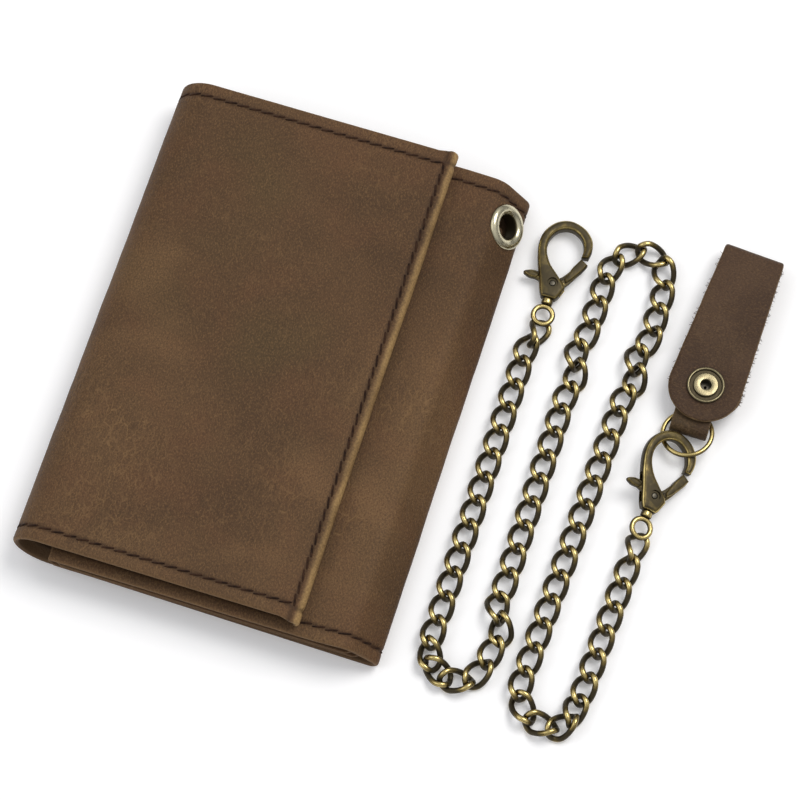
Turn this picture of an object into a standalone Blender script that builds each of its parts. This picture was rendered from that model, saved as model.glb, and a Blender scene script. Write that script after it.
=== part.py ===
"""Chain wallet: a folded leather wallet, its chain with two trigger clasps, and a belt strap.

Lengths are in millimetres in this file and are written to Blender in metres by MM.
The wallet lies on its back cover. Its spine runs along Y, X points from the spine to the
chain, Z is up, and the origin is the middle of the back cover's outer face.
"""
import math

import bmesh
import bpy
from mathutils import Matrix, Vector

MM = 0.001
GAP = 0.3                    # space kept between pieces that touch

# Wallet
WALLET_WIDTH = 94.0          # outside of the left fold to outside of the right fold
WALLET_HEIGHT = 128.0        # length of the spine
LEATHER = 1.5                # outer leather
LINING = 0.8                 # lining and pocket leather
BILL_SPACE = 1.7             # room for folded notes behind the divider
PANEL_SLACK = 1.1            # spring of the folded panels, centre pockets to right panel
FLAP_SLACK = 0.8             # spring of the flap over the right panel
FLAP_REACH = 74.0            # outside of the left fold to the flap's free edge
PANEL_REACH = 83.6           # outside of the right fold to the right panel's free edge
FLAP_SHIFT = 0.6             # the folds run a little out of square, along Y
PANEL_SHIFT = -2.0
POCKET_INSET = 2.2           # pocket leather stops short of the cover's cut edge
FOLD_SEAM = 45.0             # degrees up each fold where the covers divide
LEFT = -WALLET_WIDTH / 2
RIGHT = WALLET_WIDTH / 2
HALF_HEIGHT = WALLET_HEIGHT / 2

# Shoulder of the right fold
SHOULDER_SLOPE = 48.0        # degrees the shoulder leans out
SHOULDER_FOOT_RADIUS = 3.0
SHOULDER_TOP_RADIUS = 4.0

# Eyelet
EYELET_OUTSIDE = 11.8
EYELET_HOLE = 6.2
EYELET_BARREL = 7.6
EYELET_FROM_TOP = 10.8       # below the wallet's top edge
EYELET_CROWN = 1.1
WASHER_OUTSIDE = 9.4
BARREL_CLEARANCE = 0.3

# Chain
LINK_LENGTH = 9.6
LINK_WIDTH = 6.4
LINK_WIRE = 1.45
CHAIN_TUBE = 4.8             # plain tube along the chain
TUBE_STEPS = 76
END_LINK_LEAN = 55.0         # degrees the second end link stands up from the table

# Trigger clasps, in their own plane: u across, v from the swivel eye to the hook
EYE_OUTSIDE = 6.2
EYE_WIRE = 1.35
CLASP_THICK = 3.6
HOOK_THICK = 2.4
SLOT = 2.4
SLOT_FOOT = 6.0
SLOT_TOP = 13.2
LEVER_THICK = 1.3
PIVOT_UV = (-0.1, 8.7)
PIN_DIAMETER = 1.6
PIN_CLEARANCE = 0.2
STEM_DIAMETER = 1.1
STEM_CLEARANCE = 0.2
SPRING_WIRE = 0.32
CLASP_1_EYE = (RIGHT + 11.8, 34.9, 2.8)
CLASP_2_EYE = (RIGHT + 51.1, -12.2, 3.7)
CLASP_2_TURN = -4.0          # degrees about Z
CLASP_2_ROLL = 20.0          # degrees about its own length, left side up

# Key ring
RING_OUTSIDE = 13.5
RING_WIRE = 1.2
RING_CENTRE = (RIGHT + 55.2, 15.2, 3.1)
RING_SLOPE = (0.165, -0.125)  # rise along X and along Y

# Belt strap, in its own frame: s along the strap from the snap to the fold
STRAP_LEATHER = 1.4
STRAP_LENGTH = 48.6          # rounded tip to outside of the fold
STRAP_TIP_RADIUS = 9.35
STRAP_TOP_WIDTH = 15.2
STRAP_BACK_LEVEL = 1.2       # underside of the back ply
STRAP_BELT_GAP = 2.8         # room between the plies
STRAP_TURN = -3.5            # degrees about Z
SNAP_XY = (RIGHT + 56.2, 27.5)
SNAP_OUTSIDE = 9.5
SNAP_HOLE = 3.3
SNAP_POST = 4.2
SNAP_CLEARANCE = 0.25
TAB_WIDTH = 9.6
TAB_LEATHER = 0.8
TAB_FOOT_Y = 14.9
TAB_CENTRE_X = RIGHT + 55.3

# Levels through the folded wallet, from the table up
DIVIDER_Z = LEATHER + BILL_SPACE
BACKING_Z = DIVIDER_Z + LINING + GAP
UPPER_POCKET_Z = BACKING_Z + LINING + GAP
LOWER_POCKET_Z = UPPER_POCKET_Z + LINING + GAP
PANEL_POCKET_Z = LOWER_POCKET_Z + LINING + PANEL_SLACK
PANEL_LINING_Z = PANEL_POCKET_Z + LINING + GAP
PANEL_TOP = PANEL_LINING_Z + LINING + GAP + LEATHER
FLAP_POCKET_Z = PANEL_TOP + FLAP_SLACK
FLAP_LINING_Z = FLAP_POCKET_Z + LINING + GAP
FLAP_TOP = FLAP_LINING_Z + LINING + GAP + LEATHER

FOLD_RADIUS = FLAP_TOP / 2
FOLD_CENTRE_X = LEFT + FOLD_RADIUS
FLAP_EDGE_X = LEFT + FLAP_REACH
PANEL_EDGE_X = RIGHT - PANEL_REACH
FRONT_LEVEL = STRAP_BACK_LEVEL + STRAP_LEATHER + STRAP_BELT_GAP
STRAP_TOP = FRONT_LEVEL + STRAP_LEATHER

LEATHER_BROWN = (0.125, 0.068, 0.038)
STRAP_BROWN = (0.070, 0.036, 0.026)
LINING_BROWN = (0.090, 0.050, 0.030)
ANTIQUE_BRASS = (0.30, 0.22, 0.09)
PALE_BRASS = (0.62, 0.55, 0.38)
DARK_STEEL = (0.10, 0.10, 0.10)

# The chain's route over the table, from clasp 1 to clasp 2
CHAIN_ROUTE = [
    (58.2, 25.0), (57.3, 18.0), (57.3, 2.0), (57.3, -18.0), (57.4, -38.0), (57.5, -52.0),
    (59.3, -59.5), (65.6, -62.6), (70.4, -59.0), (72.2, -52.5), (71.4, -44.0), (70.3, -36.0),
    (70.3, -18.0), (70.3, 0.0), (70.4, 16.0), (70.5, 26.0), (71.0, 36.0), (71.1, 46.0),
    (72.3, 54.0), (77.4, 59.2), (83.0, 57.6), (85.8, 50.6), (86.3, 42.0), (85.5, 30.0),
    (84.4, 19.0), (83.8, 5.0), (83.2, -10.0), (82.6, -25.0), (82.0, -40.0), (81.4, -54.0),
    (82.8, -62.2), (88.4, -66.2), (94.2, -62.4), (96.2, -54.0), (96.7, -42.0), (97.3, -30.0),
    (97.7, -21.9),
]


def new_collection(name):
    collection = bpy.data.collections.new(name)
    bpy.context.scene.collection.children.link(collection)
    return collection


def clear_scene():
    for old in list(bpy.data.objects):
        bpy.data.objects.remove(old, do_unlink=True)


def make_material(name, color, roughness, metallic=0.0):
    material = bpy.data.materials.new(name)
    material.use_nodes = True
    shader = material.node_tree.nodes["Principled BSDF"]
    shader.inputs["Base Color"].default_value = (*color, 1.0)
    shader.inputs["Roughness"].default_value = roughness
    shader.inputs["Metallic"].default_value = metallic
    return material


clear_scene()
PARTS = new_collection("chain_wallet")
CUTTERS = new_collection("cutters")


def add_part(name, mesh, color, roughness, metallic=0.0, parent=None):
    part = bpy.data.objects.new(name, mesh)
    PARTS.objects.link(part)
    part.data.materials.append(make_material(name, color, roughness, metallic))
    part.parent = parent
    return part


def add_frame(name, location, rotation=(0.0, 0.0, 0.0), parent=None):
    frame = bpy.data.objects.new(name, None)
    PARTS.objects.link(frame)
    frame.location = Vector(location) * MM
    frame.rotation_euler = rotation
    frame.parent = parent
    return frame


def arc(centre, radius, start, end, steps):
    """Points on an arc, angles in degrees from the first axis."""
    points = []
    for step in range(steps + 1):
        angle = math.radians(start + (end - start) * step / steps)
        points.append((centre[0] + radius * math.cos(angle), centre[1] + radius * math.sin(angle)))
    return points


def smooth_path(points, steps):
    """Catmull-Rom curve through the points, with the ends kept."""
    padded = [2 * Vector(points[0]) - Vector(points[1])]
    padded += [Vector(point) for point in points]
    padded.append(2 * Vector(points[-1]) - Vector(points[-2]))
    path = []
    for index in range(1, len(padded) - 2):
        before, start, end, after = padded[index - 1:index + 3]
        for step in range(steps):
            t = step / steps
            bend = 2 * before - 5 * start + 4 * end - after
            twist = 3 * start - before - 3 * end + after
            path.append((2 * start + (end - before) * t + bend * t * t + twist * t ** 3) / 2)
    path.append(padded[-2])
    return path


def even_path(points, count):
    """The same number of equal steps along a path."""
    lengths = [0.0]
    for start, end in zip(points, points[1:]):
        lengths.append(lengths[-1] + (end - start).length)
    path = []
    index = 0
    for step in range(count + 1):
        wanted = lengths[-1] * step / count
        while index < len(points) - 2 and lengths[index + 1] < wanted:
            index += 1
        share = (wanted - lengths[index]) / (lengths[index + 1] - lengths[index])
        path.append(points[index].lerp(points[index + 1], share))
    return path


def mesh_from(name, build):
    shape = bmesh.new()
    build(shape)
    mesh = bpy.data.meshes.new(name)
    shape.to_mesh(mesh)
    shape.free()
    return mesh


def folded_sheet(name, profile, y_low, y_high, thickness, color, roughness, parent=None):
    """Leather bent along a profile in X and Z; the profile runs clockwise on its outer face."""
    def build(shape):
        rows = []
        for x, z in profile:
            low = shape.verts.new((x * MM, y_low * MM, z * MM))
            high = shape.verts.new((x * MM, y_high * MM, z * MM))
            rows.append((low, high))
        for (low, high), (next_low, next_high) in zip(rows, rows[1:]):
            shape.faces.new((low, next_low, next_high, high))
    sheet = add_part(name, mesh_from(name, build), color, roughness, parent=parent)
    solidify = sheet.modifiers.new("leather", "SOLIDIFY")
    solidify.thickness = thickness * MM
    solidify.offset = -1.0
    solidify.use_even_offset = True
    return sheet


def pocket(name, x_low, x_high, y_low, y_high, z_low, color, parent=None):
    """A flat lining or pocket leather with small round corners."""
    corner = 2.0
    def build(shape):
        bmesh.ops.create_cube(shape, size=1.0)
        scale = Vector((x_high - x_low, y_high - y_low, LINING)) * MM
        centre = Vector((x_low + x_high, y_low + y_high, 2 * z_low + LINING)) * (MM / 2)
        bmesh.ops.scale(shape, vec=scale, verts=shape.verts)
        bmesh.ops.translate(shape, vec=centre, verts=shape.verts)
        upright = [edge for edge in shape.edges
                   if abs(edge.verts[0].co.z - edge.verts[1].co.z) > LINING * MM / 2]
        bmesh.ops.bevel(shape, geom=upright, offset=corner * MM, segments=3, profile=0.5,
                        affect="EDGES")
    return add_part(name, mesh_from(name, build), color, 0.8, parent=parent)


def plate(name, outline, low, high, color, roughness, metallic=0.0, parent=None, hole=None):
    """A flat outline in X and Y with a thickness from low to high."""
    curve = bpy.data.curves.new(name, "CURVE")
    curve.dimensions = "2D"
    curve.fill_mode = "BOTH"
    loops = [outline] if hole is None else [outline, hole]
    for loop in loops:
        spline = curve.splines.new("POLY")
        spline.points.add(len(loop) - 1)
        for point, place in zip(spline.points, loop):
            point.co = (place[0] * MM, place[1] * MM, 0.0, 1.0)
        spline.use_cyclic_u = True
    curve.extrude = (high - low) / 2 * MM
    guide = bpy.data.objects.new(name + "_outline", curve)
    CUTTERS.objects.link(guide)
    mesh = meshed(guide, name)
    mesh.transform(Matrix.Translation((0.0, 0.0, (low + high) / 2 * MM)))
    return add_part(name, mesh, color, roughness, metallic, parent)


def meshed(guide, name):
    """The closed mesh of a curve object, which is then removed."""
    bpy.context.view_layer.update()
    evaluated = guide.evaluated_get(bpy.context.evaluated_depsgraph_get())
    mesh = bpy.data.meshes.new_from_object(evaluated)
    mesh.name = name
    shape = bmesh.new()
    shape.from_mesh(mesh)
    bmesh.ops.remove_doubles(shape, verts=shape.verts, dist=1e-6)
    bmesh.ops.recalc_face_normals(shape, faces=shape.faces)
    shape.to_mesh(mesh)
    shape.free()
    mesh.materials.clear()
    bpy.data.objects.remove(guide, do_unlink=True)
    return mesh


def wire(name, points, diameter, color, roughness, metallic=0.0, parent=None, closed=False,
         sides=2):
    """A round wire, bar or tube along a run of points."""
    curve = bpy.data.curves.new(name, "CURVE")
    curve.dimensions = "3D"
    curve.bevel_depth = diameter / 2 * MM
    curve.bevel_resolution = sides
    curve.use_fill_caps = not closed
    spline = curve.splines.new("POLY")
    spline.points.add(len(points) - 1)
    for point, place in zip(spline.points, points):
        point.co = (place[0] * MM, place[1] * MM, place[2] * MM, 1.0)
    spline.use_cyclic_u = closed
    return add_part(name, curve, color, roughness, metallic, parent)


def turned(name, profile, color, roughness, metallic=0.0, parent=None, steps=32):
    """A closed profile of radius and height, turned about Z; its outer side runs down."""
    def build(shape):
        ring = [shape.verts.new((r * MM, 0.0, z * MM)) for r, z in profile]
        for start, end in zip(ring, ring[1:] + ring[:1]):
            shape.edges.new((start, end))
    piece = add_part(name, mesh_from(name, build), color, roughness, metallic, parent)
    screw = piece.modifiers.new("turn", "SCREW")
    screw.steps = steps
    screw.render_steps = steps
    screw.use_merge_vertices = True
    screw.merge_threshold = 0.00001
    return piece


def rod_mesh(name, diameter, low, high, axis="Z", steps=24):
    def build(shape):
        bmesh.ops.create_cone(shape, cap_ends=True, segments=steps, radius1=diameter / 2 * MM,
                              radius2=diameter / 2 * MM, depth=(high - low) * MM)
        bmesh.ops.translate(shape, vec=(0.0, 0.0, (low + high) / 2 * MM), verts=shape.verts)
        if axis == "Y":
            turn = Matrix.Rotation(-math.pi / 2, 3, "X")
            bmesh.ops.rotate(shape, matrix=turn, verts=shape.verts)
    return mesh_from(name, build)


def block_mesh(name, low, high):
    def build(shape):
        bmesh.ops.create_cube(shape, size=1.0)
        size = (Vector(high) - Vector(low)) * MM
        middle = (Vector(high) + Vector(low)) * (MM / 2)
        bmesh.ops.scale(shape, vec=size, verts=shape.verts)
        bmesh.ops.translate(shape, vec=middle, verts=shape.verts)
    return mesh_from(name, build)


def guide_object(name, mesh, parent=None, location=(0.0, 0.0, 0.0), rotation=(0.0, 0.0, 0.0)):
    guide = bpy.data.objects.new(name, mesh)
    CUTTERS.objects.link(guide)
    guide.parent = parent
    guide.location = Vector(location) * MM
    guide.rotation_euler = rotation
    guide.hide_render = True
    guide.display_type = "WIRE"
    return guide


def shape_with(part, guide, operation):
    boolean = part.modifiers.new(operation.lower(), "BOOLEAN")
    boolean.operation = operation
    boolean.solver = "EXACT"
    boolean.object = guide
    return boolean


def shoulder_profile():
    """The right panel's outer face from its free edge over the shoulder to the fold's foot."""
    out = 90.0 - SHOULDER_SLOPE
    foot_centre = (RIGHT - SHOULDER_FOOT_RADIUS, SHOULDER_FOOT_RADIUS)
    foot = arc(foot_centre, SHOULDER_FOOT_RADIUS, out, out, 1)[0]
    lean = Vector((-math.sin(math.radians(out)), math.cos(math.radians(out))))
    top_rise = SHOULDER_TOP_RADIUS * (1 - math.sin(math.radians(out)))
    run = (PANEL_TOP - foot[1] - top_rise) / lean.y
    head = Vector(foot) + lean * run
    top_centre = (head.x - SHOULDER_TOP_RADIUS * math.cos(math.radians(out)),
                  PANEL_TOP - SHOULDER_TOP_RADIUS)
    top = arc(top_centre, SHOULDER_TOP_RADIUS, 90.0, out, 6)
    middle = (Vector(foot) + head) / 2
    return foot_centre, top, foot, middle


def build_covers():
    spine_y = (-HALF_HEIGHT + FLAP_SHIFT / 2, HALF_HEIGHT + FLAP_SHIFT / 2)
    flap_y = (-HALF_HEIGHT - GAP + FLAP_SHIFT, HALF_HEIGHT + GAP + FLAP_SHIFT)
    panel_y = (-HALF_HEIGHT + PANEL_SHIFT, HALF_HEIGHT + PANEL_SHIFT)
    right_y = (-HALF_HEIGHT + PANEL_SHIFT / 2, HALF_HEIGHT + PANEL_SHIFT / 2)
    fold = (FOLD_CENTRE_X, FOLD_RADIUS)
    seam = math.degrees(2 * GAP / FOLD_RADIUS)
    foot_centre, shoulder_top, shoulder_foot, _middle = shoulder_profile()
    foot_seam = math.degrees(1.5 * GAP / (SHOULDER_FOOT_RADIUS - LEATHER))
    out = 90.0 - SHOULDER_SLOPE

    back = arc(foot_centre, SHOULDER_FOOT_RADIUS, -FOLD_SEAM, -90.0, 8)
    back += arc(fold, FOLD_RADIUS, -90.0, -90.0 - FOLD_SEAM, 6)
    folded_sheet("back_cover", back, -HALF_HEIGHT, HALF_HEIGHT, LEATHER, LEATHER_BROWN, 0.6)

    spine = arc(fold, FOLD_RADIUS, -90.0 - FOLD_SEAM - seam, -270.0 + FOLD_SEAM + seam, 10)
    folded_sheet("left_spine", spine, *spine_y, LEATHER, LEATHER_BROWN, 0.6)

    flap = arc(fold, FOLD_RADIUS, 90.0 + FOLD_SEAM, 90.0, 6) + [(FLAP_EDGE_X, FLAP_TOP)]
    folded_sheet("flap_cover", flap, *flap_y, LEATHER, LEATHER_BROWN, 0.6)

    right = arc(foot_centre, SHOULDER_FOOT_RADIUS, out - foot_seam, -FOLD_SEAM + foot_seam, 12)
    folded_sheet("right_spine", right, *right_y, LEATHER, LEATHER_BROWN, 0.6)

    panel = [(PANEL_EDGE_X, PANEL_TOP)] + shoulder_top + [shoulder_foot]
    return folded_sheet("right_panel_cover", panel, *panel_y, LEATHER, LEATHER_BROWN, 0.6)


def build_pockets():
    low = -HALF_HEIGHT + POCKET_INSET
    high = HALF_HEIGHT - POCKET_INSET
    left = FOLD_CENTRE_X + GAP
    right = RIGHT - SHOULDER_FOOT_RADIUS - LEATHER
    notch = 14.0                       # each pocket's mouth steps down from the one behind
    pocket("bill_divider", left, right, low, high - notch / 2, DIVIDER_Z, LINING_BROWN)
    pocket("centre_pocket_backing", left + 2, right - 2, low, high, BACKING_Z, LINING_BROWN)
    pocket("centre_card_pocket_upper", left + 2, right - 3, low, high - notch, UPPER_POCKET_Z,
           LINING_BROWN)
    pocket("centre_card_pocket_lower", left + 2, right - 4, low, high - 2 * notch,
           LOWER_POCKET_Z, LINING_BROWN)
    inner = shoulder_profile()[1][0][0]
    pocket("right_panel_lining", PANEL_EDGE_X + GAP, inner, low + PANEL_SHIFT,
           high + PANEL_SHIFT, PANEL_LINING_Z, LINING_BROWN)
    pocket("right_card_pocket", PANEL_EDGE_X + notch, inner, low + PANEL_SHIFT,
           high + PANEL_SHIFT, PANEL_POCKET_Z, LINING_BROWN)
    pocket("flap_lining", left, FLAP_EDGE_X - GAP, low + FLAP_SHIFT, high + FLAP_SHIFT,
           FLAP_LINING_Z, LINING_BROWN)
    pocket("flap_card_pocket", left, FLAP_EDGE_X - notch, low + FLAP_SHIFT, high + FLAP_SHIFT,
           FLAP_POCKET_Z, LINING_BROWN)


def build_eyelet(panel):
    middle = shoulder_profile()[3]
    place = (middle.x, HALF_HEIGHT - EYELET_FROM_TOP, middle.y)
    tilt = (0.0, math.radians(SHOULDER_SLOPE), 0.0)
    seat = add_frame("eyelet_axis", place, tilt)
    barrel_hole = EYELET_BARREL + 2 * BARREL_CLEARANCE
    drill = guide_object("eyelet_drill", rod_mesh("eyelet_drill", barrel_hole, -4.0, 4.0), seat)
    shape_with(panel, drill, "DIFFERENCE")
    outer = EYELET_OUTSIDE / 2
    bore = EYELET_HOLE / 2
    barrel = EYELET_BARREL / 2
    washer_low = -LEATHER - GAP - 0.5
    flare = washer_low - GAP
    crown = arc(((outer + bore) / 2, GAP), (outer - bore) / 2, 180.0, 0.0, 8)
    crown = [(r, GAP + (z - GAP) * EYELET_CROWN / ((outer - bore) / 2)) for r, z in crown]
    body = crown + [(barrel, GAP), (barrel, flare), (barrel + 0.8, flare - 0.2),
                    (barrel + 0.6, flare - 0.6), (bore, flare - 0.6)]
    turned("eyelet", body, PALE_BRASS, 0.3, 1.0, seat)
    inside = barrel + BARREL_CLEARANCE
    rim = WASHER_OUTSIDE / 2
    washer = [(rim, washer_low + 0.5), (rim, washer_low), (inside, washer_low),
              (inside, washer_low + 0.5)]
    turned("eyelet_washer", washer, PALE_BRASS, 0.35, 1.0, seat)


def build_chain():
    flat = smooth_path([(x, y, CHAIN_TUBE / 2) for x, y in CHAIN_ROUTE], 12)
    wire("chain", even_path(flat, TUBE_STEPS), CHAIN_TUBE, ANTIQUE_BRASS, 0.4, 1.0)


def link_points(centre, along, across):
    """The centreline of one oval link."""
    half = (LINK_WIDTH - LINK_WIRE) / 2
    run = (LINK_LENGTH - LINK_WIRE) / 2 - half
    oval = arc((run, 0.0), half, -90.0, 90.0, 8) + arc((-run, 0.0), half, 90.0, 270.0, 8)
    return [Vector(centre) + Vector(along) * u + Vector(across) * v for u, v in oval]


def build_end_links():
    """The two links that hang in the clasps' eyes: one stands on its edge, one leans."""
    eye_hole = EYE_OUTSIDE / 2 - EYE_WIRE
    hang = eye_hole - LINK_WIRE / 2 - GAP / 2
    reach = (LINK_LENGTH - LINK_WIRE) / 2 + hang
    lean = math.radians(END_LINK_LEAN)
    links = [("chain_end_link_1", CLASP_1_EYE, LINK_WIDTH / 2 - CLASP_1_EYE[2], (0, 0, 1)),
             ("chain_end_link_2", CLASP_2_EYE, -GAP, (math.cos(lean), 0, math.sin(lean)))]
    for name, eye, rise, across in links:
        centre = Vector(eye) + Vector((0.0, -reach, rise))
        wire(name, link_points(centre, (0, 1, 0), across), LINK_WIRE, ANTIQUE_BRASS, 0.4, 1.0,
             closed=True)


HOOK_OUTSIDE = [(-1.9, 4.6), (-2.7, 6.0), (-4.1, 10.0), (-5.7, 14.4), (-6.6, 18.6),
                (-6.0, 22.3), (-3.6, 25.4), (-0.2, 26.6), (3.6, 25.6), (6.2, 23.2),
                (7.0, 20.4), (6.7, 17.9)]
HOOK_INSIDE = [(4.9, 17.7), (4.8, 20.2), (3.4, 22.8), (0.4, 24.2), (-2.6, 23.1),
               (-4.2, 20.2), (-4.0, 17.0), (-2.2, 13.8), (0.6, 11.2)]
BODY_FOOT = [(2.6, 9.4), (3.3, 8.2), (2.3, 5.4), (1.7, 4.6)]
LEVER_OUTLINE = [(5.1, 17.1), (4.3, 15.4), (2.0, 11.6), (0.4, 10.4), (-1.4, 10.3), (-3.6, 10.9),
                 (-6.2, 11.0), (-7.9, 10.1), (-7.6, 9.3), (-5.0, 9.0), (-2.6, 8.3), (-1.3, 7.3),
                 (-0.1, 6.95), (1.4, 7.3), (3.2, 9.0), (5.2, 12.4), (6.9, 16.0)]


def outline_arcs(points, steps=3):
    return [(point.x, point.y) for point in smooth_path([(*p, 0.0) for p in points], steps)]


def build_clasp(name, eye, rotation):
    """One trigger clasp: hook body, lever on its pin, hairpin spring and swivel eye."""
    frame = add_frame(name + "_axis", eye, rotation)
    hook = outline_arcs(HOOK_OUTSIDE) + outline_arcs(HOOK_INSIDE) + BODY_FOOT
    body = plate(name + "_body", hook, -HOOK_THICK / 2, HOOK_THICK / 2, ANTIQUE_BRASS, 0.35,
                 1.0, frame)
    cheeks = outline_arcs(HOOK_OUTSIDE[:4]) + [HOOK_INSIDE[-2], HOOK_INSIDE[-1]] + BODY_FOOT
    swell = plate(name + "_cheeks", cheeks, -CLASP_THICK / 2, CLASP_THICK / 2, ANTIQUE_BRASS,
                  0.35)
    swell_mesh = swell.data
    bpy.data.objects.remove(swell, do_unlink=True)
    shape_with(body, guide_object(name + "_swell", swell_mesh, frame), "UNION")
    slot = block_mesh(name + "_slot", (-9.0, SLOT_FOOT, -SLOT / 2), (9.0, SLOT_TOP, SLOT / 2))
    shape_with(body, guide_object(name + "_slot", slot, frame), "DIFFERENCE")

    pivot = (*PIVOT_UV, 0.0)
    bore = PIN_DIAMETER + 2 * PIN_CLEARANCE
    pin_length = CLASP_THICK + 0.2
    drill = rod_mesh(name + "_pin_drill", bore, -CLASP_THICK, CLASP_THICK)
    pin_drill = guide_object(name + "_pin_drill", drill, frame, pivot)
    shape_with(body, pin_drill, "DIFFERENCE")
    stem_bore = STEM_DIAMETER + 2 * STEM_CLEARANCE
    stem_drill = rod_mesh(name + "_stem_drill", stem_bore, 3.6, SLOT_FOOT + 0.4, "Y", 16)
    shape_with(body, guide_object(name + "_stem_drill", stem_drill, frame), "DIFFERENCE")

    hinge = add_frame(name + "_pivot", pivot, parent=frame)
    lever_outline = [(u - PIVOT_UV[0], v - PIVOT_UV[1]) for u, v in LEVER_OUTLINE]
    lever = plate(name + "_lever", lever_outline, -LEVER_THICK / 2, LEVER_THICK / 2,
                  ANTIQUE_BRASS, 0.35, 1.0, hinge)
    shape_with(lever, pin_drill, "DIFFERENCE")
    add_part(name + "_lever_pin",
             rod_mesh(name + "_lever_pin", PIN_DIAMETER, -pin_length / 2, pin_length / 2),
             DARK_STEEL, 0.4, 1.0, hinge)

    coil = (PIN_DIAMETER + SPRING_WIRE) / 2 + PIN_CLEARANCE
    level = (LEVER_THICK / 2 + SLOT / 2) / 2
    hairpin = [(-2.6, 0.7)] + arc((0.0, 0.0), coil, 130.0, 400.0, 14) + [(2.2, 2.0)]
    wire(name + "_spring", [(u, v, level) for u, v in hairpin], SPRING_WIRE, DARK_STEEL, 0.3,
         1.0, hinge)

    middle = (EYE_OUTSIDE - EYE_WIRE) / 2
    eye_ring = arc((0.0, 0.0), middle, 0.0, 360.0 - 360.0 / 28, 27)
    ring = wire(name + "_eye_ring", [(u, v, 0.0) for u, v in eye_ring], EYE_WIRE,
                ANTIQUE_BRASS, 0.35, 1.0, closed=True, sides=3)
    ring_mesh = meshed(ring, name + "_eye")
    swivel = add_part(name + "_swivel_eye", ring_mesh, ANTIQUE_BRASS, 0.35, 1.0, frame)
    head_low = SLOT_FOOT + 0.15
    stem = rod_mesh(name + "_stem", STEM_DIAMETER, middle, head_low + 0.2, "Y", 16)
    shape_with(swivel, guide_object(name + "_stem", stem, frame), "UNION")
    head = rod_mesh(name + "_stem_head", 1.9, head_low, head_low + 0.55, "Y", 16)
    shape_with(swivel, guide_object(name + "_stem_head", head, frame), "UNION")


def build_key_ring():
    middle = (RING_OUTSIDE - RING_WIRE) / 2
    circle = arc((0.0, 0.0), middle, 0.0, 360.0 - 360.0 / 40, 39)
    normal = Vector((-RING_SLOPE[0], -RING_SLOPE[1], 1.0)).normalized()
    turn = Vector((0.0, 0.0, 1.0)).rotation_difference(normal).to_euler()
    axis = add_frame("key_ring_axis", RING_CENTRE, turn)
    wire("key_ring", [(u, v, 0.0) for u, v in circle], RING_WIRE, PALE_BRASS, 0.25, 1.0, axis,
         closed=True)


def strap_outline(foot, head):
    """The strap's outline in its own frame: round tip at the foot, straight at the head."""
    top_half = STRAP_TOP_WIDTH / 2
    reach = STRAP_LENGTH - STRAP_TIP_RADIUS
    lean = math.degrees(math.asin((STRAP_TIP_RADIUS - top_half) / reach))
    if foot < -STRAP_TIP_RADIUS + 1.0:
        tip = arc((0.0, 0.0), STRAP_TIP_RADIUS, 180.0 - lean, 360.0 + lean, 28)
    else:
        half = STRAP_TIP_RADIUS * math.cos(math.radians(lean))
        tip = [(-half, foot), (half, foot)]
    share = head / reach
    head_half = STRAP_TIP_RADIUS + (top_half - STRAP_TIP_RADIUS) * share
    return tip + [(head_half, head), (-head_half, head)]


def build_strap():
    turn = (0.0, 0.0, math.radians(STRAP_TURN))
    frame = add_frame("strap_axis", (*SNAP_XY, 0.0), turn)
    fold_radius = (STRAP_TOP - STRAP_BACK_LEVEL) / 2
    fold_s = STRAP_LENGTH - STRAP_TIP_RADIUS - fold_radius
    snap_hole = SNAP_POST + 2 * SNAP_CLEARANCE
    hole = arc((0.0, 0.0), snap_hole / 2, 0.0, 345.0, 23)

    front = strap_outline(-STRAP_TIP_RADIUS, fold_s - GAP)
    plate("strap_front", front, FRONT_LEVEL, STRAP_TOP, STRAP_BROWN, 0.7, parent=frame,
          hole=hole)
    back = strap_outline(-STRAP_TIP_RADIUS / 2, fold_s - GAP)
    plate("strap_back", back, STRAP_BACK_LEVEL, STRAP_BACK_LEVEL + STRAP_LEATHER, STRAP_BROWN,
          0.7, parent=frame, hole=hole)

    half = STRAP_TOP_WIDTH / 2
    bend = arc((0.0, 0.0), fold_radius, 90.0, -90.0, 12)
    fold_frame = add_frame("strap_fold_axis", (0.0, fold_s, STRAP_BACK_LEVEL + fold_radius),
                           (0.0, 0.0, math.radians(90.0)), frame)
    folded_sheet("strap_fold", bend, -half, half, STRAP_LEATHER, STRAP_BROWN, 0.7, fold_frame)

    tab_top = FRONT_LEVEL - GAP
    tab_low = GAP
    tab_radius = (tab_top - tab_low) / 2
    tab_y = TAB_FOOT_Y + tab_radius
    tab_end = SNAP_XY[1] - STRAP_TIP_RADIUS / 2 - GAP - 0.4
    tab = [(tab_end - tab_y, tab_radius)]
    tab = [(-x, z) for x, z in tab] + arc((0.0, 0.0), tab_radius, 90.0, -90.0, 12)
    tab += [(-(tab_end - tab_y), -tab_radius)]
    tab_frame = add_frame("tab_axis", (TAB_CENTRE_X, tab_y, tab_low + tab_radius),
                          (0.0, 0.0, math.radians(-90.0)))
    folded_sheet("strap_ring_tab", tab, -TAB_WIDTH / 2, TAB_WIDTH / 2, TAB_LEATHER,
                 STRAP_BROWN, 0.7, tab_frame)
    return frame


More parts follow.
